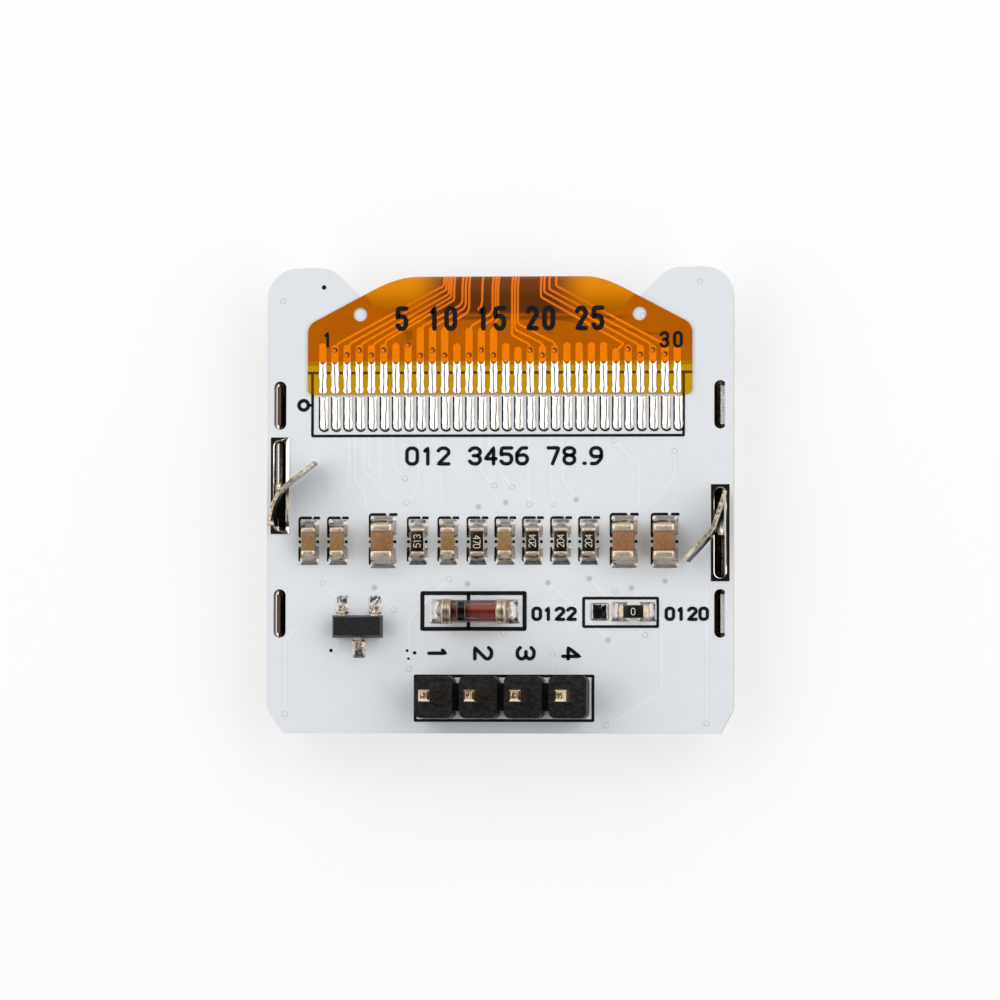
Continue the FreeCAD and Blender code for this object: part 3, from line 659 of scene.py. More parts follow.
def print_numbers(ink):
    """Plain numbers under the flex pads, beside the jumper and over the header's pins."""
    ink.number("012 3456 78.9", -5.41, 1.97, 1.1, 0.2, advance=6.0)
    ink.number("0122", 1.84, -6.9, 0.82, 0.19, advance=6.3)
    ink.number("0120", 9.43, -6.9, 0.82, 0.19, advance=6.1)
    for number, x in enumerate(PIN_NUMBER_X, 1):
        ink.number(str(number), x - 0.56, -8.32, 1.15, 0.2, turn=-math.pi / 2)


def print_outlines(ink):
    """Rectangles, the bar under the diode, the ring beside the first pad and the dots."""
    for outline in OUTLINES.values():
        ink.outline(*outline)
    ink.line([(-1.76, -5.38), (-1.76, -7.28)], 0.2)
    ink.ring(-11.25, 5.44, 0.27, 0.2, 20)
    ink.line([(-10.95, 5.44), (-10.78, 5.44)], 0.14)
    for x, y, width in DOTS:
        ink.disc(x, y, width / 2)


def print_pad_marks(ink):
    """Broken outline at the left and top of each pair of pads, and a dot on either side between them."""
    for name in ROW_CHIPS:
        middle = node_span(name)[2]
        width, span = LARGE_PADS if "large" in name else SMALL_PADS
        half_width, half_span = width / 2 + 0.03, span / 2 + 0.05
        x, y = middle.x + 0.03, middle.y
        left, right, high = x - half_width, x + half_width, y + half_span
        marks = (
            [(left, y + 0.32), (left, high), (x + half_width * 0.08, high)],
            [(x + half_width * 0.5, high), (right - 0.06, high)],
            [(left, y - 0.38), (left, y - half_span + 0.3)],
        )
        for mark in marks:
            ink.line(rounded_path(mark, 0.12), 0.17)
        for spot in (left, right - 0.12):
            ink.disc(spot, y, 0.09, 12)


def print_joint_marks(ink, flex):
    """Painted shade: a thin dark line down the left of each joint of the flex pads and round its foot."""
    low, high, middle = node_span("board_joints")
    radius = 0.27
    turns = [math.pi * step / 10 for step in range(9)]
    for x in pad_row(middle.x, flex):
        foot = [(x - radius * math.cos(turn), low.y + radius - 0.03 - radius * math.sin(turn))
                for turn in turns]
        ink.line([(x - radius, high.y - 0.1), *foot], 0.09)


class MODULE_OT_print(Operator):
    """Prints the outlines, marks and plain numbers on the board, and paints dark shade lines beside the flex
    joints
    """
    bl_idname = "display_module.print"
    bl_label = "Print"

    def execute(self, context):
        look = settings(context)
        shape = bmesh.new()
        ink = Layer(shape, board_back(), look.board.ink_height / MM)
        print_outlines(ink)
        print_numbers(ink)
        print_pad_marks(ink)
        print_joint_marks(ink, look.flex)
        add_piece("board_print", shape, [print_finish(look.board)])
        return {"FINISHED"}


# Tinned ring of a slot: its border, the thickness of its wall and the rise of its face
RING_BORDER = 0.18
RING_WALL = 0.04
RING_RISE = 0.034
# Rise of the leaning right side of each slot's ring, 0 where the ring is flat
RING_LEAN = {"left": 0.06, "right": 0.0}


def plating_finish(look):
    """Smooth tin, cloudy only over long distances, with painted shade down in the slot."""
    finish = Finish("tinned_slot", look.tinning, 0.1, metallic=1.0)
    back = board_back()
    # Painted shade: the tin turns dark brown below the board's face, down in the slot
    lit = finish.step(finish.axis("Z"), back - 0.12, back - 0.02)
    tin = finish.speckled(look.tinning, 1.5, 0.06)
    finish.set("Base Color", finish.mix(lit, srgb(84, 70, 58), tin))
    finish.relief(finish.grain(1.2, 1.0), 0.3, 0.02)
    return finish.material


def rounded_loop(shape, middle, half_width, half_length, radius, z, steps=6):
    """Closed loop of points round a rectangle with rounded corners."""
    loop = []
    for quarter, (side, end) in enumerate(((1, 1), (-1, 1), (-1, -1), (1, -1))):
        x = middle.x + side * (half_width - radius)
        y = middle.y + end * (half_length - radius)
        for step in range(steps + 1):
            turn = math.pi / 2 * (quarter + step / steps)
            loop.append(shape.verts.new((x + radius * math.cos(turn), y + radius * math.sin(turn), z)))
    return loop


def slot_ring(name, lean):
    """Tinned ring that rolls over into the slot's wall, and may lean along its right side."""
    low, high, middle = node_span(name)
    half_width, half_length = high.x - middle.x, high.y - middle.y
    back = board_back()
    bore_width, bore_length = half_width - RING_BORDER, half_length - RING_BORDER
    face = back + RING_RISE
    shape = bmesh.new()
    sections = (
        (half_width, half_length, 0.04, back),
        (half_width, half_length, 0.04, face),
        (bore_width + 0.05, bore_length + 0.05, bore_width * 0.9, face),
        (bore_width + 0.02, bore_length + 0.02, bore_width + 0.01, face + 0.006),
        (bore_width - 0.015, bore_length - 0.015, bore_width - 0.02, back + 0.02),
        (bore_width - 0.03, bore_length - 0.03, bore_width - 0.035, back - 0.05),
        (bore_width - 0.04, bore_length - 0.03, bore_width - 0.045, back - 0.4),
        (bore_width - 0.08, bore_length, bore_width - 0.085, low.z),
        (bore_width + RING_WALL, bore_length + RING_WALL, bore_width + RING_WALL - 0.01, low.z),
        (bore_width + RING_WALL, bore_length + RING_WALL, bore_width + RING_WALL - 0.01, back),
    )
    loops = [rounded_loop(shape, middle, *section) for section in sections]
    for vert in [vert for loop in loops[1:5] for vert in loop] if lean else ():
        if vert.co.x > middle.x + 0.1:
            vert.co.z = back + lean * max(1 - (high.x - vert.co.x) / RING_BORDER, 0.02)
    for first, second in zip(loops, loops[1:] + loops[:1]):
        quad_strip(shape, first, second, closed=True)
    return shape


class MODULE_OT_plating(Operator):
    """Builds the tinned rings and walls of the two slots"""
    bl_idname = "display_module.plating"
    bl_label = "Slot plating"

    def execute(self, context):
        finish = plating_finish(settings(context).board)
        for side, lean in RING_LEAN.items():
            name = f"slot_plating_{side}"
            add_piece(f"slot_ring_{side}", slot_ring(name, lean), [finish], [name], 25)
        return {"FINISHED"}


def steel_finish(look):
    """Nickelled sheet, brushed along its rolling direction, with sheared edges, and painted highlights,
    painted shade and a painted reflection on its edges and in the slots.
    """
    finish = Finish("nickelled_steel", look.steel, 0.2, metallic=1.0)
    facing = finish.facing("Z")
    cut = finish.step(facing, 0.78, 0.9)
    # Cut edges: a cream speckle, partly the bare metal and partly a painted highlight where the edges face up
    sheared = finish.shades(finish.grain(6.0, 2.0), [(0.36, darker(look.edge, 0.3)), (0.56, look.edge)])
    # Painted shade on the cut edges near the slots
    painted_shade_near_slot = finish.product(finish.band(finish.aside(), 11.3, 12.4, 0.3), 0.5)
    sheared = finish.mix(painted_shade_near_slot, sheared, srgb(128, 106, 90))
    # Painted highlight: a near white glint on the cut edges near the tips
    glint = finish.product(finish.band(finish.aside(), 10.75, 11.05, 0.12), 0.9)
    sheared = finish.mix(glint, sheared, srgb(255, 246, 228))
    # Painted shade on the tabs down in the slots; there the cut edges get painted shade on their left side
    # and a near white painted reflection on their right side
    deep = finish.band(finish.axis("Z"), 2.0, 3.05, 0.08)
    deep_edge = finish.mix(finish.step(finish.axis("X"), -1.0, 1.0), srgb(128, 104, 92), srgb(250, 248, 246))
    sheet = finish.mix(deep, finish.speckled(look.steel, 2.0, 0.10), srgb(150, 134, 128))
    # Painted shade along the rounded shoulders beside the top edges, above the board
    shoulder = finish.product(finish.band(facing, 0.14, 0.8, 0.06),
                              finish.levels(finish.axis("Z"), 0.0, 0.85, 3.05, 3.15))
    sheet = finish.mix(shoulder, sheet, srgb(58, 48, 42))
    finish.set("Base Color", finish.mix(cut, sheet, finish.mix(deep, sheared, deep_edge)))
    finish.set("Metallic", finish.levels(cut, 1.0, 0.7))
    brushed = finish.grain(5.0, 3.0, (6.0, 0.6, 6.0))
    polish = finish.levels(brushed, 0.2, 0.32, 0.3, 0.7)
    finish.set("Roughness", finish.levels(finish.maths("MAXIMUM", cut, polish), 0.2, 0.4, 0.2, 1.0))
    torn = finish.product(cut, finish.grain(7.0, 1.0))
    finish.relief(finish.maths("ADD", finish.product(brushed, 0.1), torn), 0.8, 0.06)
    return finish.material


class MODULE_OT_frame(Operator):
    """Finishes the stamped frame with its twisted tabs"""
    bl_idname = "display_module.frame"
    bl_label = "Stamped frame"

    def execute(self, context):
        dress(["display_frame"], steel_finish(settings(context).frame), edge=0.05, segments=3)
        return {"FINISHED"}


def tape_finish(look):
    """Foam with open cells."""
    finish = Finish("foam_tape", look.tape, 0.9)
    cells = finish.node("ShaderNodeTexVoronoi", {"Vector": finish.place(), "Scale": 9.0}).outputs["Distance"]
    finish.set("Base Color", finish.shades(cells, [(0.1, look.tape), (0.8, srgb(70, 70, 72))]))
    finish.relief(cells, 0.8, 0.05)
    return finish.material


class MODULE_OT_panel(Operator):
    """Finishes the glass panel, its film, its chip and the tape behind it"""
    bl_idname = "display_module.panel"
    bl_label = "Glass panel"

    def execute(self, context):
        look = settings(context).panel
        dress(["front_glass", "rear_glass"],
              plain_finish("panel_glass", look.glass, 0.06, (0.4, 0.12), sockets={"Coat Weight": 0.4}))
        dress(["polarizer_film"],
              plain_finish("polarizing_film", look.film, 0.16, (6.0, 0.10), (20.0, 2.0, 0.1, 0.002)))
        dress(["foam_tape"], tape_finish(look))
        dress(["driver_chip"], plain_finish("chip_silicon", look.silicon, 0.2, (5.0, 0.1), metallic=0.7),
              edge=0.02)
        return {"FINISHED"}


# Where the film starts to fold and the level of the fold's axis
FOLD_START = 11.72
FOLD_LEVEL = 2.05
# Runs of copper on the film as seen from above, from pad to fold
FLEX_TRACES = (
    ((-9.30, 8.95), (-3.22, 12.24), (-3.22, 12.87)),
    ((-8.60, 8.95), (-3.07, 12.02), (-3.07, 12.87)),
    ((-7.90, 8.95), (-2.92, 11.78), (-2.92, 12.87)),
    ((-7.20, 8.95), (-2.78, 11.61), (-2.78, 12.87)),
    ((-6.50, 9.13), (-2.61, 11.44), (-2.61, 12.87)),
    ((-4.42, 9.94), (-2.25, 11.15), (-2.14, 11.35), (-2.14, 12.87)),
    ((-3.73, 9.94), (-2.05, 10.95), (-1.95, 11.19), (-1.95, 12.87)),
    ((-3.03, 9.94), (-1.84, 10.73), (-1.75, 10.97), (-1.75, 12.87)),
    ((-1.08, 11.02), (-1.0, 11.4), (-1.0, 12.87)),
    ((-1.62, 9.94), (-0.55, 10.62), (-0.41, 10.85), (-0.41, 12.87)),
    ((-0.92, 9.98), (-0.33, 10.38), (-0.24, 10.67), (-0.24, 12.87)),
    ((-0.35, 9.90), (-0.10, 10.40), (-0.08, 12.87)),
    ((1.74, 8.86), (0.71, 9.42), (0.71, 12.87)),
    ((2.44, 8.93), (0.87, 9.74), (0.87, 12.87)),
    ((3.14, 8.97), (1.04, 10.07), (1.04, 12.87)),
    ((7.10, 8.90), (2.36, 11.59), (2.34, 12.87)),
    ((7.85, 8.90), (2.55, 11.87), (2.52, 12.87)),
    ((8.55, 8.95), (2.84, 12.03), (2.80, 12.87)),
    ((9.25, 8.95), (3.22, 12.22), (3.18, 12.87)),
)
# Upper end of each pad from left to right, and the height of the via in those that have one
PAD_TOPS = (9.0, 8.9, 8.9, 8.9, 8.9, 8.95, 9.0, 9.02, 9.9, 9.9, 9.9, 8.96, 9.85, 9.85, 9.85,
            8.97, 8.75, 8.8, 8.85, 8.85, 9.0, 9.0, 9.0, 9.0, 8.65, 8.85, 8.85, 8.85, 8.85, 8.8)
PAD_VIAS = {1: 8.59, 2: 8.32, 3: 8.59, 4: 8.3, 5: 8.59, 7: 8.9, 8: 8.28, 9: 8.56, 10: 8.28, 12: 8.28,
            13: 8.57, 14: 8.28, 17: 8.57, 18: 8.27, 19: 8.54, 25: 8.6, 26: 8.29, 27: 8.55, 28: 8.31}
COPPER_RISE = 0.012
HIGHEST_PAD_START = 10.0


def flex_top():
    return node_span("flex_circuit")[1].z


def run_along_flex(y):
    """Length along the film of a point seen from above at this depth."""
    radius = flex_top() - FOLD_LEVEL
    if y <= FOLD_START:
        return y
    return FOLD_START + radius * math.asin(min((y - FOLD_START) / radius, 1.0))


def bent_over_fold(x, run, level):
    """Place of a point of the flat film, once the film is folded."""
    if run <= FOLD_START:
        return (x, run, level)
    turn = (run - FOLD_START) / (flex_top() - FOLD_LEVEL)
    radius = level - FOLD_LEVEL
    return (x, FOLD_START + radius * math.sin(turn), FOLD_LEVEL + radius * math.cos(turn))


def over_gap(finish):
    """1 where the film spans the notch of the board, with nothing white behind it; painted shade goes there.
    """
    side = finish.levels(finish.aside(), 0.0, 2.4, 6.2, 9.4)
    return finish.step(finish.maths("SUBTRACT", finish.axis("Y"), side), 10.45, 10.8)


def gap_color(finish, look):
    """Painted shade of the film over the dark notch, darkest in the middle, and a painted sheen that makes it
    lighter up the fold.
    """
    y = finish.axis("Y")
    sides = finish.mix(finish.step(y, 10.4, 12.2), srgb(158, 82, 0), srgb(212, 128, 0))
    middle = finish.mix(finish.step(y, 11.2, 12.8), look.gap_film, srgb(112, 56, 16))
    return finish.mix(finish.levels(finish.aside(), 1.0, 0.0, 2.8, 5.2), sides, middle)


def covered_color(finish, look):
    """Film under the cover layer, with painted shade over the notch, a dark line along the board's edge and a
    darker spot and slanted line.
    """
    x, y = finish.axis("X"), finish.axis("Y")
    amber = finish.speckled(look.film, 1.6, 0.05)
    color = finish.mix(over_gap(finish), amber, gap_color(finish, look))
    edge_line = finish.product(finish.band(y, 10.3, 10.52, 0.1), finish.band(x, -4.5, 7.0, 0.6))
    color = finish.mix(finish.product(edge_line, 0.6), color, srgb(70, 34, 6))
    slant = finish.maths("ADD", y, finish.product(x, 0.154))
    lower_line = finish.product(finish.band(slant, 10.77, 10.89, 0.06), finish.band(x, 1.6, 9.2, 0.5))
    spot = finish.product(finish.band(x, -5.4, -5.0, 0.12), finish.band(y, 9.2, 9.7, 0.14))
    dark_spot_and_line = finish.product(finish.maths("MAXIMUM", lower_line, spot), 0.4)
    return finish.mix(dark_spot_and_line, color, srgb(84, 44, 6))


def bare_color(finish, look):
    """Film below the cover layer, with the board's print showing through it."""
    x, y = finish.axis("X"), finish.axis("Y")
    ends = finish.maths("MAXIMUM", finish.band(x, -10.82, -10.66, 0.02), finish.band(x, 10.43, 10.59, 0.02))
    printed = finish.maths("MAXIMUM", finish.band(y, 7.2, 7.36, 0.02), ends)
    printed = finish.product(printed, finish.levels(y, 1.0, 0.0, 7.34, 7.38))
    color = finish.speckled(look.bare_film, 2.5, 0.08)
    color = finish.mix(finish.product(printed, 0.9), color, srgb(50, 32, 6))
    return finish.mix(finish.step(y, 7.68, 7.74), color, srgb(176, 112, 4))


def amber_finish(look):
    """Amber film, bare by the fingers and under a cover layer above them."""
    finish = Finish("amber_film", look.film, 0.3)
    covered = finish.step(finish.axis("Y"), 7.93, 7.99)
    finish.set("Base Color", finish.mix(covered, bare_color(finish, look), covered_color(finish, look)))
    finish.set("Specular IOR Level", 0.06)
    finish.relief(finish.grain(2.0, 3.0), 0.15, 0.01)
    return finish.material


def copper_finish(look):
    """Copper under the cover layer, with painted shade where it spans the gap."""
    finish = Finish("covered_copper", look.copper, 0.32)
    bright = finish.speckled(look.copper, 8.0, 0.10)
    # Painted shade on the copper over the gap
    finish.set("Base Color", finish.mix(over_gap(finish), bright, srgb(222, 108, 14)))
    finish.set("Specular IOR Level", 0.12)
    finish.relief(finish.grain(9.0), 0.2, 0.004)
    return finish.material


def pad_row(middle, look):
    """Middle of each pad of a row, from left to right."""
    return [middle + look.pad_pitch / MM * (i - (look.pad_count - 1) / 2) for i in range(look.pad_count)]


def pad_places(look):
    return pad_row(node_span("flex_fingers")[2].x, look)


def fine_path(points, step=0.12):
    """The same line with points close enough to bend over the fold."""
    path = [Vector(points[0])]
    for first, second in zip(points, points[1:]):
        first, second = Vector(first), Vector(second)
        count = max(1, round((second - first).length / step)) if second.y > FOLD_START else 1
        path.extend(first.lerp(second, i / count) for i in range(1, count + 1))
    return path


def flex_copper(look):
    """Traces, pads with round tops and the rims of the vias in them."""
    shape = bmesh.new()
    top = flex_top()
    places = pad_places(look)
    traces = Layer(shape, top, COPPER_RISE * 0.7, bent=bent_over_fold)
    for points in FLEX_TRACES:
        start_x, start_y = points[0]
        if start_y < HIGHEST_PAD_START:
            pad = min(places, key=lambda place: abs(place + 0.13 - start_x))
            points = ((pad + 0.06, start_y - 0.35), *points)
        runs = [(x, run_along_flex(y)) for x, y in points]
        traces.line(fine_path(rounded_path(runs, 0.12, steps=3)), look.trace_width / MM)
    low = node_span("flex_fingers")[1].y - 0.02
    half = look.pad_width / MM / 2
    turns = [math.pi * step / 8 for step in range(9)]
    for i, x in enumerate(places):
        high = PAD_TOPS[i % len(PAD_TOPS)] - half
        crown = [(x + half * math.cos(turn), high + half * math.sin(turn)) for turn in turns]
        prism(shape, [(x - half, low), (x + half, low), *crown], top, top + COPPER_RISE)
    rims = Layer(shape, top + COPPER_RISE, COPPER_RISE * 0.3, finish=1)
    for i, y in PAD_VIAS.items():
        rims.ring(places[i], y, 0.16, 0.05)
    Layer(shape, top, COPPER_RISE).ring(-1.1, 10.91, 0.12, 0.09)
    return shape


def flex_print(look):
    """Plain numbers on the film, and painted shade drawn as a dark crescent in each via."""
    shape = bmesh.new()
    level = flex_top() + COPPER_RISE
    large = Layer(shape, level, 0.012, bent=bent_over_fold)
    large.number("5 10 15 20 25", -5.98, 9.67, 1.42, 0.26, advance=7.8, squeeze=0.62)
    small = Layer(shape, level, 0.01)
    small.number("1", -10.15, 8.72, 0.92, 0.15, squeeze=0.8)
    small.number("30", 9.14, 8.66, 0.95, 0.17, advance=8.0, squeeze=0.74)
    # Painted shade: a dark crescent in each via of the pads
    marks = Layer(shape, level, 0.005)
    places = pad_places(look)
    for i, y in PAD_VIAS.items():
        bow = [(places[i] + 0.1 * math.cos(turn), y + 0.1 * math.sin(turn))
               for turn in (2.2, 1.4, 0.6, -0.2, -1.0)]
        marks.line(rounded_path(bow, 0.05, steps=2), 0.06)
    return shape


class MODULE_OT_flex(Operator):
    """Finishes the amber film, with its copper, its plain numbers and its painted shade"""
    bl_idname = "display_module.flex"
    bl_label = "Flex circuit"

    def execute(self, context):
        look = settings(context).flex
        dress(["flex_circuit"], amber_finish(look))
        shade = plain_finish("copper_in_shade", look.via_copper, 0.4, (8.0, 0.1))
        add_piece("flex_copper", flex_copper(look), [copper_finish(look), shade])
        ink = print_finish(settings(context).board)
        add_piece("flex_numbers", flex_print(look), [ink])
        return {"FINISHED"}


# Form of a long bead of solder: its crest's place across, the swelling at its lower and upper end,
# how far down the lower one sits, how its lower corners are cut, how deep its top forks, round foot
Bead = namedtuple("Bead", "width height crest lower_swell upper_swell drop corner_cut fork round_foot")
FINGER = Bead(0.445, 0.12, 0.0, 0.2, 0.15, 0.14, 0.1, 0.22, False)
JOINT = Bead(0.5, 0.14, 0.28, 0.12, 0.06, 0.0, 0.0, 0.1, True)
BEAD_SEED = 7
BEAD_LIFT = 0.006


def bead_rows(bead, x, low, high, base, chance):
    """Grid of points over one long bead of solder, with a narrow crest and full flanks."""
    across, along = 14, 24
    lower_at = chance.uniform(-0.64, -0.46) - bead.drop
    upper_at = chance.uniform(0.1, 0.6)
    lean = chance.uniform(-0.01, 0.01)
    wander = chance.uniform(0, 6)
    shoulder = 1 - bead.width * 0.9 / (high - low)
    rows = []
    for j in range(along + 1):
        v = -math.cos(math.pi * j / along)
        end = max(1 - abs(v) ** 10, 0.0) ** 0.5
        narrow = 0.8 + 0.2 * end
        if bead.round_foot:
            narrow = max(1 - (max(-v - shoulder, 0.0) / (1 - shoulder)) ** 2, 0.02) ** 0.5
        swell = (bead.lower_swell * math.exp(-((v - lower_at) / 0.1) ** 2)
                 + bead.upper_swell * math.exp(-((v - upper_at) / 0.12) ** 2))
        half = bead.width / 2 * narrow * (1 + swell)
        ridge = bead.crest + 0.10 * math.sin(2.3 * v + wander) + 0.05 * math.sin(7.1 * v + 2 * wander)
        row = []
        for i in range(across + 1):
            u = 2 * i / across - 1
            reach = (u - ridge) / (1 - ridge if u > ridge else 1 + ridge)
            rise = bead.height * (1 - abs(reach) ** 1.45) * (0.3 + 0.7 * end)
            dent = bead.corner_cut * u ** 2 if v < 0 else bead.fork * (1 - abs(u))
            y = low + (high - low) * (v + 1) / 2 - math.copysign(dent * abs(v) ** 8, v)
            row.append((x + u * half + lean * v, y, base + BEAD_LIFT + rise))
        rows.append(row)
    return rows


def solder_finish(look, name="reflowed_solder", roughness=0.22, waves=3.2, depth=0.05):
    """Tin that cooled in slow waves, with no fine grain, and a painted highlight, lighter and warmer, on its
    slopes.
    """
    finish = Finish(name, look.solder, roughness, metallic=1.0)
    # Painted highlight: the slopes take the lighter, warmer colour, the flat tops the plain solder
    flat = finish.step(finish.facing("Z"), 0.7, 0.97)
    finish.set("Base Color", finish.mix(flat, look.solder_edge, finish.speckled(look.solder, 1.8, 0.07)))
    finish.set("Roughness", finish.levels(finish.grain(3.0), roughness * 0.8, roughness * 1.3, 0.3, 0.7))
    finish.relief(finish.grain(waves, 1.0), 0.5, depth)
    return finish.material


class MODULE_OT_fingers(Operator):
    """Builds the soldered fingers of the flex and the joints on the board beside them"""
    bl_idname = "display_module.fingers"
    bl_label = "Fingers and joints"

    def execute(self, context):
        look = settings(context)
        chance = random.Random(BEAD_SEED)
        solder = plain_finish("finger_solder", look.parts.bright_solder, 0.16, (2.5, 0.06),
                              (1.6, 1.0, 0.5, 0.012), metallic=1.0)
        for name, node, bead, base, slot in (
                ("finger_solder", "flex_fingers", FINGER, flex_top(), "tinned_copper"),
                ("joint_solder", "board_joints", JOINT, board_back(), "solder")):
            low, high, middle = node_span(node)
            beads = bmesh.new()
            for x in pad_row(middle.x, look.flex):
                patch(beads, bead_rows(bead, x, low.y, high.y, base, chance), base)
            add_piece(name, beads, [solder], [node], 60)
        return {"FINISHED"}


SOLDER_LIFT = 0.004
SOLDER_CORNER = 0.12
SOLDER_STEPS = 14
SOLDER_HOLLOW = 2.5


def solder_point(x, y, outer, foot, film, climb):
    """Point of a solder patch. Its outer edge is rounded, and it climbs to what stands in it."""
    low_x, high_x, low_y, high_y = outer
    away = math.hypot(max(foot[0] - x, x - foot[1], 0.0), max(foot[2] - y, y - foot[3], 0.0))
    edge = max(min(x - low_x, high_x - x, y - low_y, high_y - y), 0.0)
    share = away / (away + edge) if away + edge > 0 else 1.0
    rise = film * min(edge / SOLDER_CORNER, 1.0) ** 0.5 + climb * (1 - share) ** SOLDER_HOLLOW
    corner_x = max(low_x + SOLDER_CORNER - x, x - high_x + SOLDER_CORNER, 0.0)
    corner_y = max(low_y + SOLDER_CORNER - y, y - high_y + SOLDER_CORNER, 0.0)
    corner = math.hypot(corner_x, corner_y)
    pull = 1 - SOLDER_CORNER / corner if corner > SOLDER_CORNER else 0.0
    x += math.copysign(corner_x, (low_x + high_x) / 2 - x) * pull
    y += math.copysign(corner_y, (low_y + high_y) / 2 - y) * pull
    return x, y, SOLDER_LIFT + rise


def add_solder(shape, outer, foot, film, climb, place, turned=False):
    """Solder patch at a place. The patch and what stands in it are low x, high x, low y, high y."""
    middle_x, middle_y, base = place
    steps = [step / SOLDER_STEPS for step in range(SOLDER_STEPS + 1)]
    rows = []
    for v in steps:
        row = []
        for u in steps:
            x, y, z = solder_point(outer[0] + (outer[1] - outer[0]) * u,
                                   outer[2] + (outer[3] - outer[2]) * v, outer, foot, film, climb)
            if turned:
                x, y = -y, x
            row.append((middle_x + x, middle_y + y, base + z))
        rows.append(row)
    patch(shape, rows, base)


ChipSize = namedtuple("ChipSize", "length width height band pad_span pad_gap pad_width")
CHIP_SIZES = {
    "small_capacitor": ChipSize(1.6, 0.8, 0.8, 0.31, 2.66, 0.5, 1.12),
    "large_capacitor": ChipSize(2.0, 1.25, 1.25, 0.5, 3.02, 0.75, 1.5),
    "chip_resistor": ChipSize(1.56, 0.8, 0.45, 0.26, 2.66, 0.5, 1.12),
}
CHIP_COUNTS = {"small": 4, "large": 3}
CHIP_LIFT = 0.05
TERMINAL_SKIN = 0.03
TERMINAL_LAP = 0.02


def ceramic_finish(name, color, grain_color):
    """Fired ceramic with fine lines along the chip."""
    finish = Finish(name, color, 0.42)
    layers = finish.grain(7.0, 4.0, (1.4, 0.8, 1.0))
    finish.set("Base Color", finish.shades(layers, [(0.38, grain_color), (0.6, color)]))
    finish.relief(finish.grain(14.0, 3.0), 0.4, 0.006)
    return finish.material


def terminal_finish(look):
    return plain_finish("tinned_terminal", look.terminal, 0.36, (11.0, 0.22), (16.0, 2.0, 0.8, 0.025),
                        metallic=0.9)


def add_chip(kind, x, y, base, shapes, turned=False):
    """One chip at a place on the board: body, terminals and solder join the shapes of its kind."""
    size = CHIP_SIZES[kind]
    body, terminals, solder = shapes
    half_length, half_width = size.length / 2, size.width / 2
    place = Vector((x, y, base))

    def add_box(target, half, ends, low_z, high_z, radius, segments):
        low, high = (-half, ends[0], low_z), (half, ends[1], high_z)
        if turned:
            low, high = (-ends[1], -half, low_z), (-ends[0], half, high_z)
        join(target, rounded_box(Vector(low) + place, Vector(high) + place, radius, segments))

    for side in (-1, 1):
        ends = sorted((side * (half_length - size.band), side * half_length))
        pads = sorted((side * size.pad_gap / 2, side * size.pad_span / 2))
        add_box(terminals, half_width, ends, CHIP_LIFT, CHIP_LIFT + size.height, 0.15 * size.width, 5)
        add_solder(solder, (-size.pad_width / 2, size.pad_width / 2, *pads), (-half_width, half_width, *ends),
                   CHIP_LIFT * 0.8, size.height * 0.62, place, turned)
    inner = half_length - size.band + TERMINAL_LAP
    add_box(body, half_width - TERMINAL_SKIN, (-inner, inner), CHIP_LIFT + TERMINAL_SKIN,
            CHIP_LIFT + size.height - TERMINAL_SKIN, 0.04, 2)


class MODULE_OT_capacitors(Operator):
    """Builds the ceramic capacitors with their terminals and solder"""
    bl_idname = "display_module.capacitors"
    bl_label = "Capacitors"

    def execute(self, context):
        look = settings(context).parts
        base = board_back()
        terminal, solder = terminal_finish(look), solder_finish(look)
        for size, count in CHIP_COUNTS.items():
            ceramic = ceramic_finish(f"{size}_ceramic", getattr(look, f"{size}_ceramic"),
                                     getattr(look, f"{size}_grain"))
            kind = f"{size}_capacitor"
            terminals, joints = bmesh.new(), bmesh.new()
            for i in range(1, count + 1):
                body = bmesh.new()
                middle = node_span(f"{kind}_{i}")[2]
                add_chip(kind, middle.x, middle.y, base, (body, terminals, joints))
                add_piece(f"{kind}_body_{i}", body, [ceramic], [f"{kind}_{i}"])
            add_piece(f"{kind}_ends", terminals, [terminal], [f"{kind}_terminals"])
            add_piece(f"{kind}_joints", joints, [solder], [f"{kind}_solder"], 50)
        return {"FINISHED"}


# Plain number on each resistor, by its CAD node
ROW_RESISTORS = {"chip_resistor_1": "513", "chip_resistor_2": "470", "chip_resistor_3": "204",
                 "chip_resistor_4": "204", "chip_resistor_5": "204"}
UPSIDE_DOWN_RESISTOR = "chip_resistor_2"
ADDRESS_RESISTOR = {"address_resistor": "0"}
GLAZE_RISE = 0.025
CODE_HEIGHT = 0.42
CODE_ADVANCE = 0.235


def add_glaze(glaze, code, middle, top, text, turned, upside_down):
    """Black glaze over the middle of a resistor, with its plain number."""
    x, y = middle.x, middle.y
    size = CHIP_SIZES["chip_resistor"]
    span_x, span_y = size.width / 2 - 0.035, size.length / 2 - size.band + 0.06
    start, turn = (x + CODE_HEIGHT / 2, y - len(text) * CODE_ADVANCE / 2), math.pi / 2
    if turned:
        span_x, span_y = span_y, span_x
        start, turn = (x - 0.13, y - CODE_HEIGHT / 2), 0.0
    elif upside_down:
        start, turn = (x - CODE_HEIGHT / 2, y + len(text) * CODE_ADVANCE / 2), -math.pi / 2
    low, high = (x - span_x, y - span_y, top - 0.02), (x + span_x, y + span_y, top + GLAZE_RISE)
    join(glaze, rounded_box(low, high, 0.02, 2))
    number = Layer(code, top + GLAZE_RISE, 0.006)
    number.number(text, *start, CODE_HEIGHT, 0.04, advance=5.0, turn=turn, squeeze=0.8)


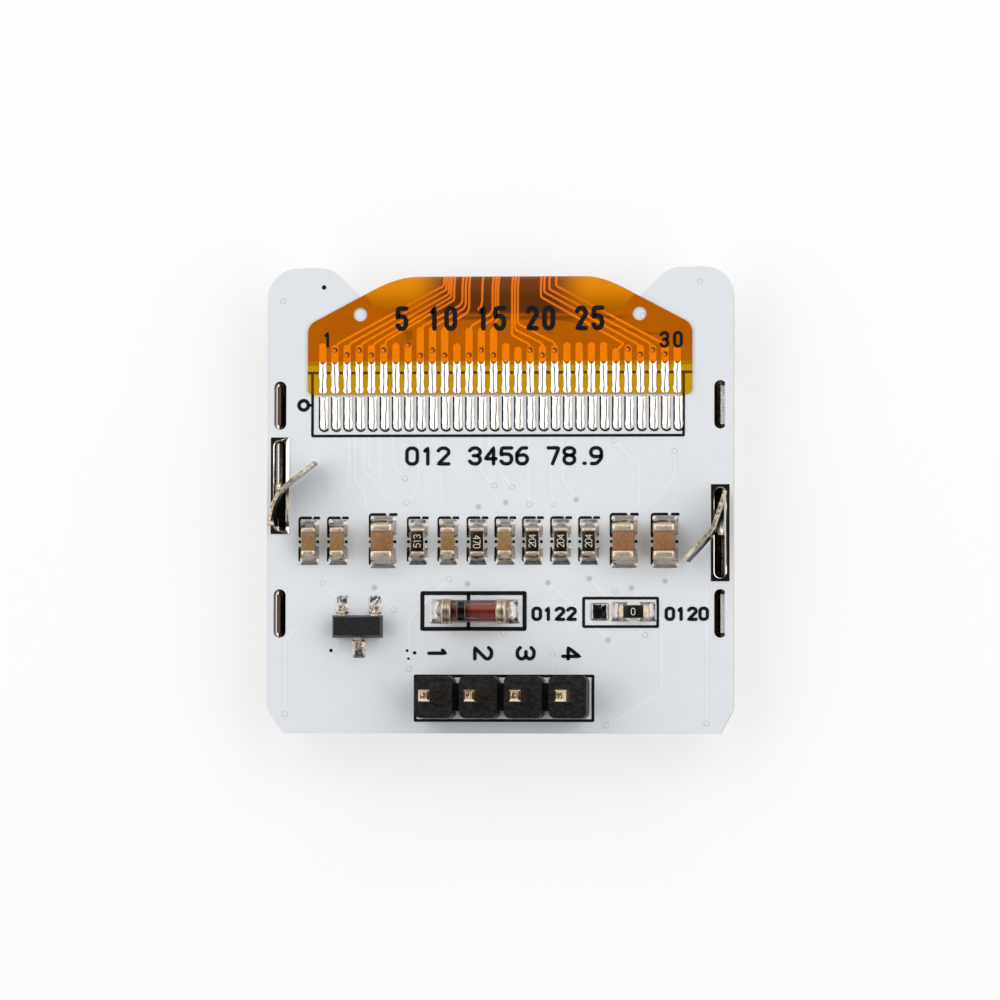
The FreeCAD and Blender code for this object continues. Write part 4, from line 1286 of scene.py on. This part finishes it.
class MODULE_OT_resistors(Operator):
    """Builds the chip resistors with their terminals, solder and plain numbers"""
    bl_idname = "display_module.resistors"
    bl_label = "Resistors"

    def execute(self, context):
        look = settings(context).parts
        base = board_back()
        top = base + CHIP_LIFT + CHIP_SIZES["chip_resistor"].height - TERMINAL_SKIN
        coat = plain_finish("black_glaze", look.resistor_coat, 0.3, (8.0, 0.25), (10.0, 3.0, 0.35, 0.008))
        ceramic = plain_finish("white_alumina", look.alumina, 0.5, (10.0, 0.06), (18.0, 2.0, 0.3, 0.004))
        cream = plain_finish("cream_code", look.code, 0.6, (16.0, 0.08))
        terminal, solder = terminal_finish(look), solder_finish(look)
        for label, kind, texts in (("resistor", "chip_resistor", ROW_RESISTORS),
                                   ("address", "address_resistor", ADDRESS_RESISTOR)):
            turned = label == "address"
            terminals, joints = bmesh.new(), bmesh.new()
            for i, (node, text) in enumerate(texts.items(), 1):
                body, glaze, code = bmesh.new(), bmesh.new(), bmesh.new()
                middle = node_span(node)[2]
                shapes = (body, terminals, joints)
                add_chip("chip_resistor", middle.x, middle.y, base, shapes, turned)
                add_glaze(glaze, code, middle, top, text, turned, node == UPSIDE_DOWN_RESISTOR)
                end = "" if turned else f"_{i}"
                add_piece(f"{label}_ceramic{end}", body, [ceramic], [node])
                add_piece(f"{label}_glaze{end}", glaze, [coat])
                add_piece(f"{label}_number{end}", code, [cream])
            add_piece(f"{label}_ends", terminals, [terminal], [f"{kind}_terminals"])
            add_piece(f"{label}_joints", joints, [solder], [f"{kind}_solder"], 50)
        return {"FINISHED"}


class MODULE_OT_jumper(Operator):
    """Builds the solder on the empty pad of the jumper"""
    bl_idname = "display_module.jumper"
    bl_label = "Jumper pad"

    def execute(self, context):
        low, high, _ = node_span("jumper_pad")
        sides = (low.x + 0.02, high.x - 0.02, low.y + 0.02, high.y - 0.02)
        pad = bmesh.new()
        add_solder(pad, sides, sides, 0.1, 0.0, (0, 0, low.z))
        finish = solder_finish(settings(context).parts, "pad_solder", 0.14, 2.6, 0.16)
        add_piece("jumper_solder", pad, [finish], ["jumper_pad"], 50)
        return {"FINISHED"}


# Solder of the regulator's leads, measured from the middle of its body
LEAD_PAD_HALF_WIDTH = 0.375
LEAD_PAD_REACH = (0.73, 1.78)
LEAD_HALF_WIDTH = 0.19
LEAD_FOOT_REACH = (0.78, 1.2)


def moulding_finish(name, color, roughness=0.42, stretch=(1, 1, 1), depth=0.01, spread=0.08):
    """Moulded plastic with cloudy gloss."""
    finish = Finish(name, color, roughness)
    finish.set("Base Color", finish.speckled(color, 7.0, 0.35, stretch))
    gloss = finish.grain(5.0, 5.0, stretch)
    finish.set("Specular IOR Level", finish.levels(gloss, 0.4 - spread, 0.4 + spread, 0.35, 0.65))
    finish.relief(finish.grain(4.0, 5.0, stretch), 0.5, depth)
    return finish.material


def lead_finish(look):
    """Leads wetted with wrinkled solder."""
    finish = Finish("plated_lead", look.lead, 0.3, metallic=1.0)
    finish.set("Base Color", finish.speckled(look.lead, 5.0, 0.12))
    finish.set("Roughness", finish.levels(finish.grain(4.0, 3.0), 0.24, 0.42, 0.3, 0.7))
    finish.relief(finish.grain(5.0, 2.0), 0.8, 0.1)
    return finish.material


class MODULE_OT_regulator(Operator):
    """Finishes the regulator and its leads, and builds its joints"""
    bl_idname = "display_module.regulator"
    bl_label = "Regulator"

    def execute(self, context):
        look = settings(context).parts
        dress(["regulator_body"], moulding_finish("black_epoxy", look.moulding), edge=0.05, segments=3)
        leads = [f"regulator_lead_{i}" for i in (1, 2, 3)]
        dress(leads, lead_finish(look), edge=0.02)
        joints = bmesh.new()
        back = node_span("regulator_solder")[0].z
        body_y = node_span("regulator_body")[2].y
        for name in leads:
            middle = node_span(name)[2]
            side = math.copysign(1, middle.y - body_y)
            pad = sorted(body_y + side * reach for reach in LEAD_PAD_REACH)
            foot = sorted(body_y + side * reach for reach in LEAD_FOOT_REACH)
            add_solder(joints, (middle.x - LEAD_PAD_HALF_WIDTH, middle.x + LEAD_PAD_HALF_WIDTH, *pad),
                       (middle.x - LEAD_HALF_WIDTH, middle.x + LEAD_HALF_WIDTH, *foot), 0.045, 0.12,
                       (0, 0, back))
        finish = solder_finish(look, "wrinkled_solder", 0.26, 4.5, 0.14)
        add_piece("regulator_joints", joints, [finish], ["regulator_solder"], 50)
        return {"FINISHED"}


# Solder of the diode's caps, measured from the diode's middle
CAP_PAD_REACH = (1.25, 2.6)
CAP_PAD_HALF_WIDTH = 0.69
CAP_REACH = (1.3, 1.85)
CAP_HALF_WIDTH = 0.42


def diode_glass_finish(look):
    """Clear glass with a black band painted round its marked end."""
    finish = Finish("diode_glass", look.diode_glass, 0.04)
    painted = finish.band(finish.axis("X"), -2.3, -1.85, 0.04)
    finish.set("Base Color", finish.mix(painted, look.diode_glass, srgb(12, 8, 8)))
    finish.set("Transmission Weight", finish.maths("SUBTRACT", 1.0, painted))
    finish.set("IOR", 1.5)
    return finish.material


def stud_finish(look):
    """Copper studs in the glass, darker at the marked end."""
    finish = Finish("diode_stud", look.stud, 0.32, metallic=1.0)
    dark = darker(look.stud, 0.35)
    shade = finish.mix(finish.step(finish.axis("X"), -1.8, -1.35), dark, look.stud)
    finish.set("Base Color", finish.mix(finish.levels(finish.grain(5.0), 0.0, 0.3, 0.4, 0.7), shade, dark))
    finish.relief(finish.grain(6.0), 0.3, 0.01)
    return finish.material


def cap_finish(look):
    """Dull metal turned in rings round the diode."""
    finish = Finish("diode_cap", look.cap, 0.34, metallic=1.0)
    rings = finish.grain(9.0, 1.0, (1.0, 0.02, 0.02))
    finish.set("Base Color", finish.shades(rings, [(0.42, darker(look.cap, 0.45)), (0.52, look.cap)]))
    finish.relief(rings, 0.5, 0.02)
    return finish.material


class MODULE_OT_diode(Operator):
    """Finishes the glass diode and builds its joints"""
    bl_idname = "display_module.diode"
    bl_label = "Diode"

    def execute(self, context):
        look = settings(context).parts
        dress(["diode_glass"], diode_glass_finish(look))
        dress(["diode_stud_left", "diode_stud_right", "diode_die"], stud_finish(look))
        dress(["diode_cap_left", "diode_cap_right"], cap_finish(look), edge=0.04)
        joints = bmesh.new()
        low, _, middle = node_span("diode_solder")
        for side in (-1, 1):
            pad = sorted(side * reach for reach in CAP_PAD_REACH)
            cap = sorted(side * reach for reach in CAP_REACH)
            add_solder(joints, (*pad, -CAP_PAD_HALF_WIDTH, CAP_PAD_HALF_WIDTH),
                       (*cap, -CAP_HALF_WIDTH, CAP_HALF_WIDTH), 0.05, 0.5, (middle.x, middle.y, low.z))
        add_piece("diode_joints", joints, [solder_finish(look)], ["diode_solder"], 50)
        return {"FINISHED"}


def gold_finish(look):
    """Gold plating, dented at the cropped tips."""
    finish = Finish("pin_plating", look.gold, 0.14, metallic=1.0)
    tip = finish.step(finish.facing("Z"), 0.1, 0.4)
    finish.set("Base Color", finish.speckled(look.gold, 3.0, 0.08))
    finish.set("Roughness", finish.levels(tip, 0.14, 0.26))
    finish.relief(finish.product(tip, finish.grain(5.0, 1.0)), 0.8, 0.08)
    return finish.material


class MODULE_OT_header(Operator):
    """Finishes the pin header"""
    bl_idname = "display_module.header"
    bl_label = "Pin header"

    def execute(self, context):
        look = settings(context).parts
        plastic = moulding_finish("header_plastic", look.header, 0.5, (0.7, 1, 1), 0.03, 0.14)
        dress(["header_body"], plastic, edge=0.06, segments=3)
        dress([f"header_pin_{i}" for i in range(1, 5)], gold_finish(look), edge=0.015)
        dress(["header_solder"], solder_finish(look))
        return {"FINISHED"}


# Light of the studio from the horizon, 0, to overhead, 1
SKY = ((0.0, 0.95), (0.04, 0.85), (0.12, 0.6), (0.72, 0.62), (0.92, 0.14), (0.97, 0.02), (1.0, 0.015))
FLOOR_GLOW = 0.62
# Half width and thickness of the floor, and the lamps' places and sizes, in metres
FLOOR_REACH = 3.0
FLOOR_THICKNESS = 0.01
SIDE_LAMP_SIZE = (0.7, 0.4)
BACK_LAMP_SIZE = (0.7, 0.3)
LAMPS = {
    "lamp_left": ((-0.31, 0.11, 0.29), SIDE_LAMP_SIZE),
    "lamp_right": ((0.31, 0.11, 0.29), SIDE_LAMP_SIZE),
    "lamp_back": ((0.0, 0.36, 0.30), BACK_LAMP_SIZE),
}
SENSOR_WIDTH = 36.0
AIM_X = 0.03
CAMERA_UP = (-0.002, 1, 0)


def floor_finish(look):
    """Pale floor that keeps the shadow and shows near white."""
    material = bpy.data.materials.new("pale_floor")
    recipe = Recipe(material, "ShaderNodeOutputMaterial")
    matt = recipe.node("ShaderNodeBsdfDiffuse", {"Color": look.floor}).outputs[0]
    glow = recipe.node("ShaderNodeEmission", {"Color": look.floor}).outputs[0]
    ray = recipe.node("ShaderNodeLightPath").outputs
    seen = recipe.maths("MAXIMUM", ray["Is Camera Ray"], ray["Is Glossy Ray"])
    seen = recipe.maths("MAXIMUM", seen, ray["Is Transmission Ray"])
    mixed = recipe.node("ShaderNodeMixShader", {0: recipe.product(seen, FLOOR_GLOW), 1: matt, 2: glow})
    recipe.feed(mixed.outputs[0], recipe.output.inputs["Surface"])
    return material


def studio_world():
    """Grey studio, bright at the sides and dark overhead."""
    world = bpy.data.worlds.new("studio")
    recipe = Recipe(world, "ShaderNodeOutputWorld")
    direction = recipe.node("ShaderNodeTexCoord").outputs["Generated"]
    sky = recipe.shades(recipe.part_of(direction, "Z"),
                        [(height, (level, level, level, 1.0)) for height, level in SKY])
    aside = recipe.maths("ABSOLUTE", recipe.part_of(direction, "X"))
    strength = recipe.levels(aside, 0.66, 1.3, 0.1, 0.8, "LINEAR")
    background = recipe.node("ShaderNodeBackground", {"Color": sky, "Strength": strength})
    recipe.feed(background.outputs[0], recipe.output.inputs["Surface"])
    return world


def add_lamp(name, place, target, size, power):
    """Soft rectangular lamp aimed at a point."""
    light = bpy.data.lights.new(name, "AREA")
    light.shape = "RECTANGLE"
    light.size, light.size_y = size
    light.energy = power
    lamp = bpy.data.objects.new(name, light)
    lamp.location = place
    lamp.rotation_euler = (Vector(target) - Vector(place)).to_track_quat("-Z", "Y").to_euler()
    bpy.context.scene.collection.objects.link(lamp)


def add_floor(scene, look):
    shape = bmesh.new()
    reach = FLOOR_REACH
    prism(shape, [(-reach, -reach), (reach, -reach), (reach, reach), (-reach, reach)], -FLOOR_THICKNESS, 0.0)
    mesh = bpy.data.meshes.new("floor")
    shape.to_mesh(mesh)
    shape.free()
    mesh.materials.append(floor_finish(look))
    floor = bpy.data.objects.new("floor", mesh)
    scene.collection.objects.link(floor)
    floor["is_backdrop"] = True


def add_camera(scene, look, board):
    """Camera over the board, a little to the right and towards the header."""
    lens = bpy.data.cameras.new("camera")
    lens.sensor_width = SENSOR_WIDTH
    lens.lens = SENSOR_WIDTH * look.camera_height / look.field
    lens.clip_start = 0.01
    lens.clip_end = 20.0
    camera = bpy.data.objects.new("camera", lens)
    camera.location = (look.camera_offset, -look.camera_drop, board + look.camera_height)
    back = (camera.location - Vector((AIM_X * MM, 0, board))).normalized()
    right = Vector(CAMERA_UP).cross(back).normalized()
    camera.rotation_euler = Matrix((right, back.cross(right), back)).transposed().to_euler()
    scene.collection.objects.link(camera)
    scene.camera = camera


class MODULE_OT_stage(Operator):
    """Lays the floor, hangs the soft lamps and sets the camera over the part"""
    bl_idname = "display_module.stage"
    bl_label = "Studio"

    def execute(self, context):
        look = settings(context).stage
        scene = context.scene
        board = board_back() * MM
        add_floor(scene, look)
        scene.world = studio_world()
        for name, (place, size) in LAMPS.items():
            power = look.back_power if name == "lamp_back" else look.side_power
            add_lamp(name, place, (0, 0, board), size, power)
        add_camera(scene, look, board)
        scene.view_settings.view_transform = "Standard"
        return {"FINISHED"}


STEPS = (
    MODULE_OT_stage, MODULE_OT_board, MODULE_OT_print, MODULE_OT_plating, MODULE_OT_frame,
    MODULE_OT_panel, MODULE_OT_flex, MODULE_OT_fingers, MODULE_OT_capacitors, MODULE_OT_resistors,
    MODULE_OT_jumper, MODULE_OT_regulator, MODULE_OT_diode, MODULE_OT_header,
)


class MODULE_PT_panel(Panel):
    """Lists the steps that dress the module"""
    bl_label = "Display Module"
    bl_idname = "MODULE_PT_panel"
    bl_space_type = "VIEW_3D"
    bl_region_type = "UI"
    bl_category = "Display Module"

    def draw(self, context):
        for step in STEPS:
            self.layout.operator(step.bl_idname)
        for group in ModuleSettings.__annotations__:
            box = self.layout.box()
            look = getattr(settings(context), group)
            for name in look.__annotations__:
                box.prop(look, name)


CLASSES = (
    BoardSettings, FrameSettings, PanelSettings, FlexSettings, PartsSettings, StageSettings,
    ModuleSettings, *STEPS, MODULE_PT_panel,
)


def register():
    for item in CLASSES:
        bpy.utils.register_class(item)
    bpy.types.Scene.display_module = PointerProperty(type=ModuleSettings)


def unregister():
    del bpy.types.Scene.display_module
    for item in reversed(CLASSES):
        bpy.utils.unregister_class(item)


def corners():
    """Lowest and highest corner of the shown part as plain numbers."""
    return [[float(value) for value in corner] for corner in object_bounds()]


def main():
    register()
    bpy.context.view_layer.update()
    for step in STEPS:
        group, name = step.bl_idname.split(".")
        getattr(getattr(bpy.ops, group), name)()


if __name__ == "__main__":
    main()
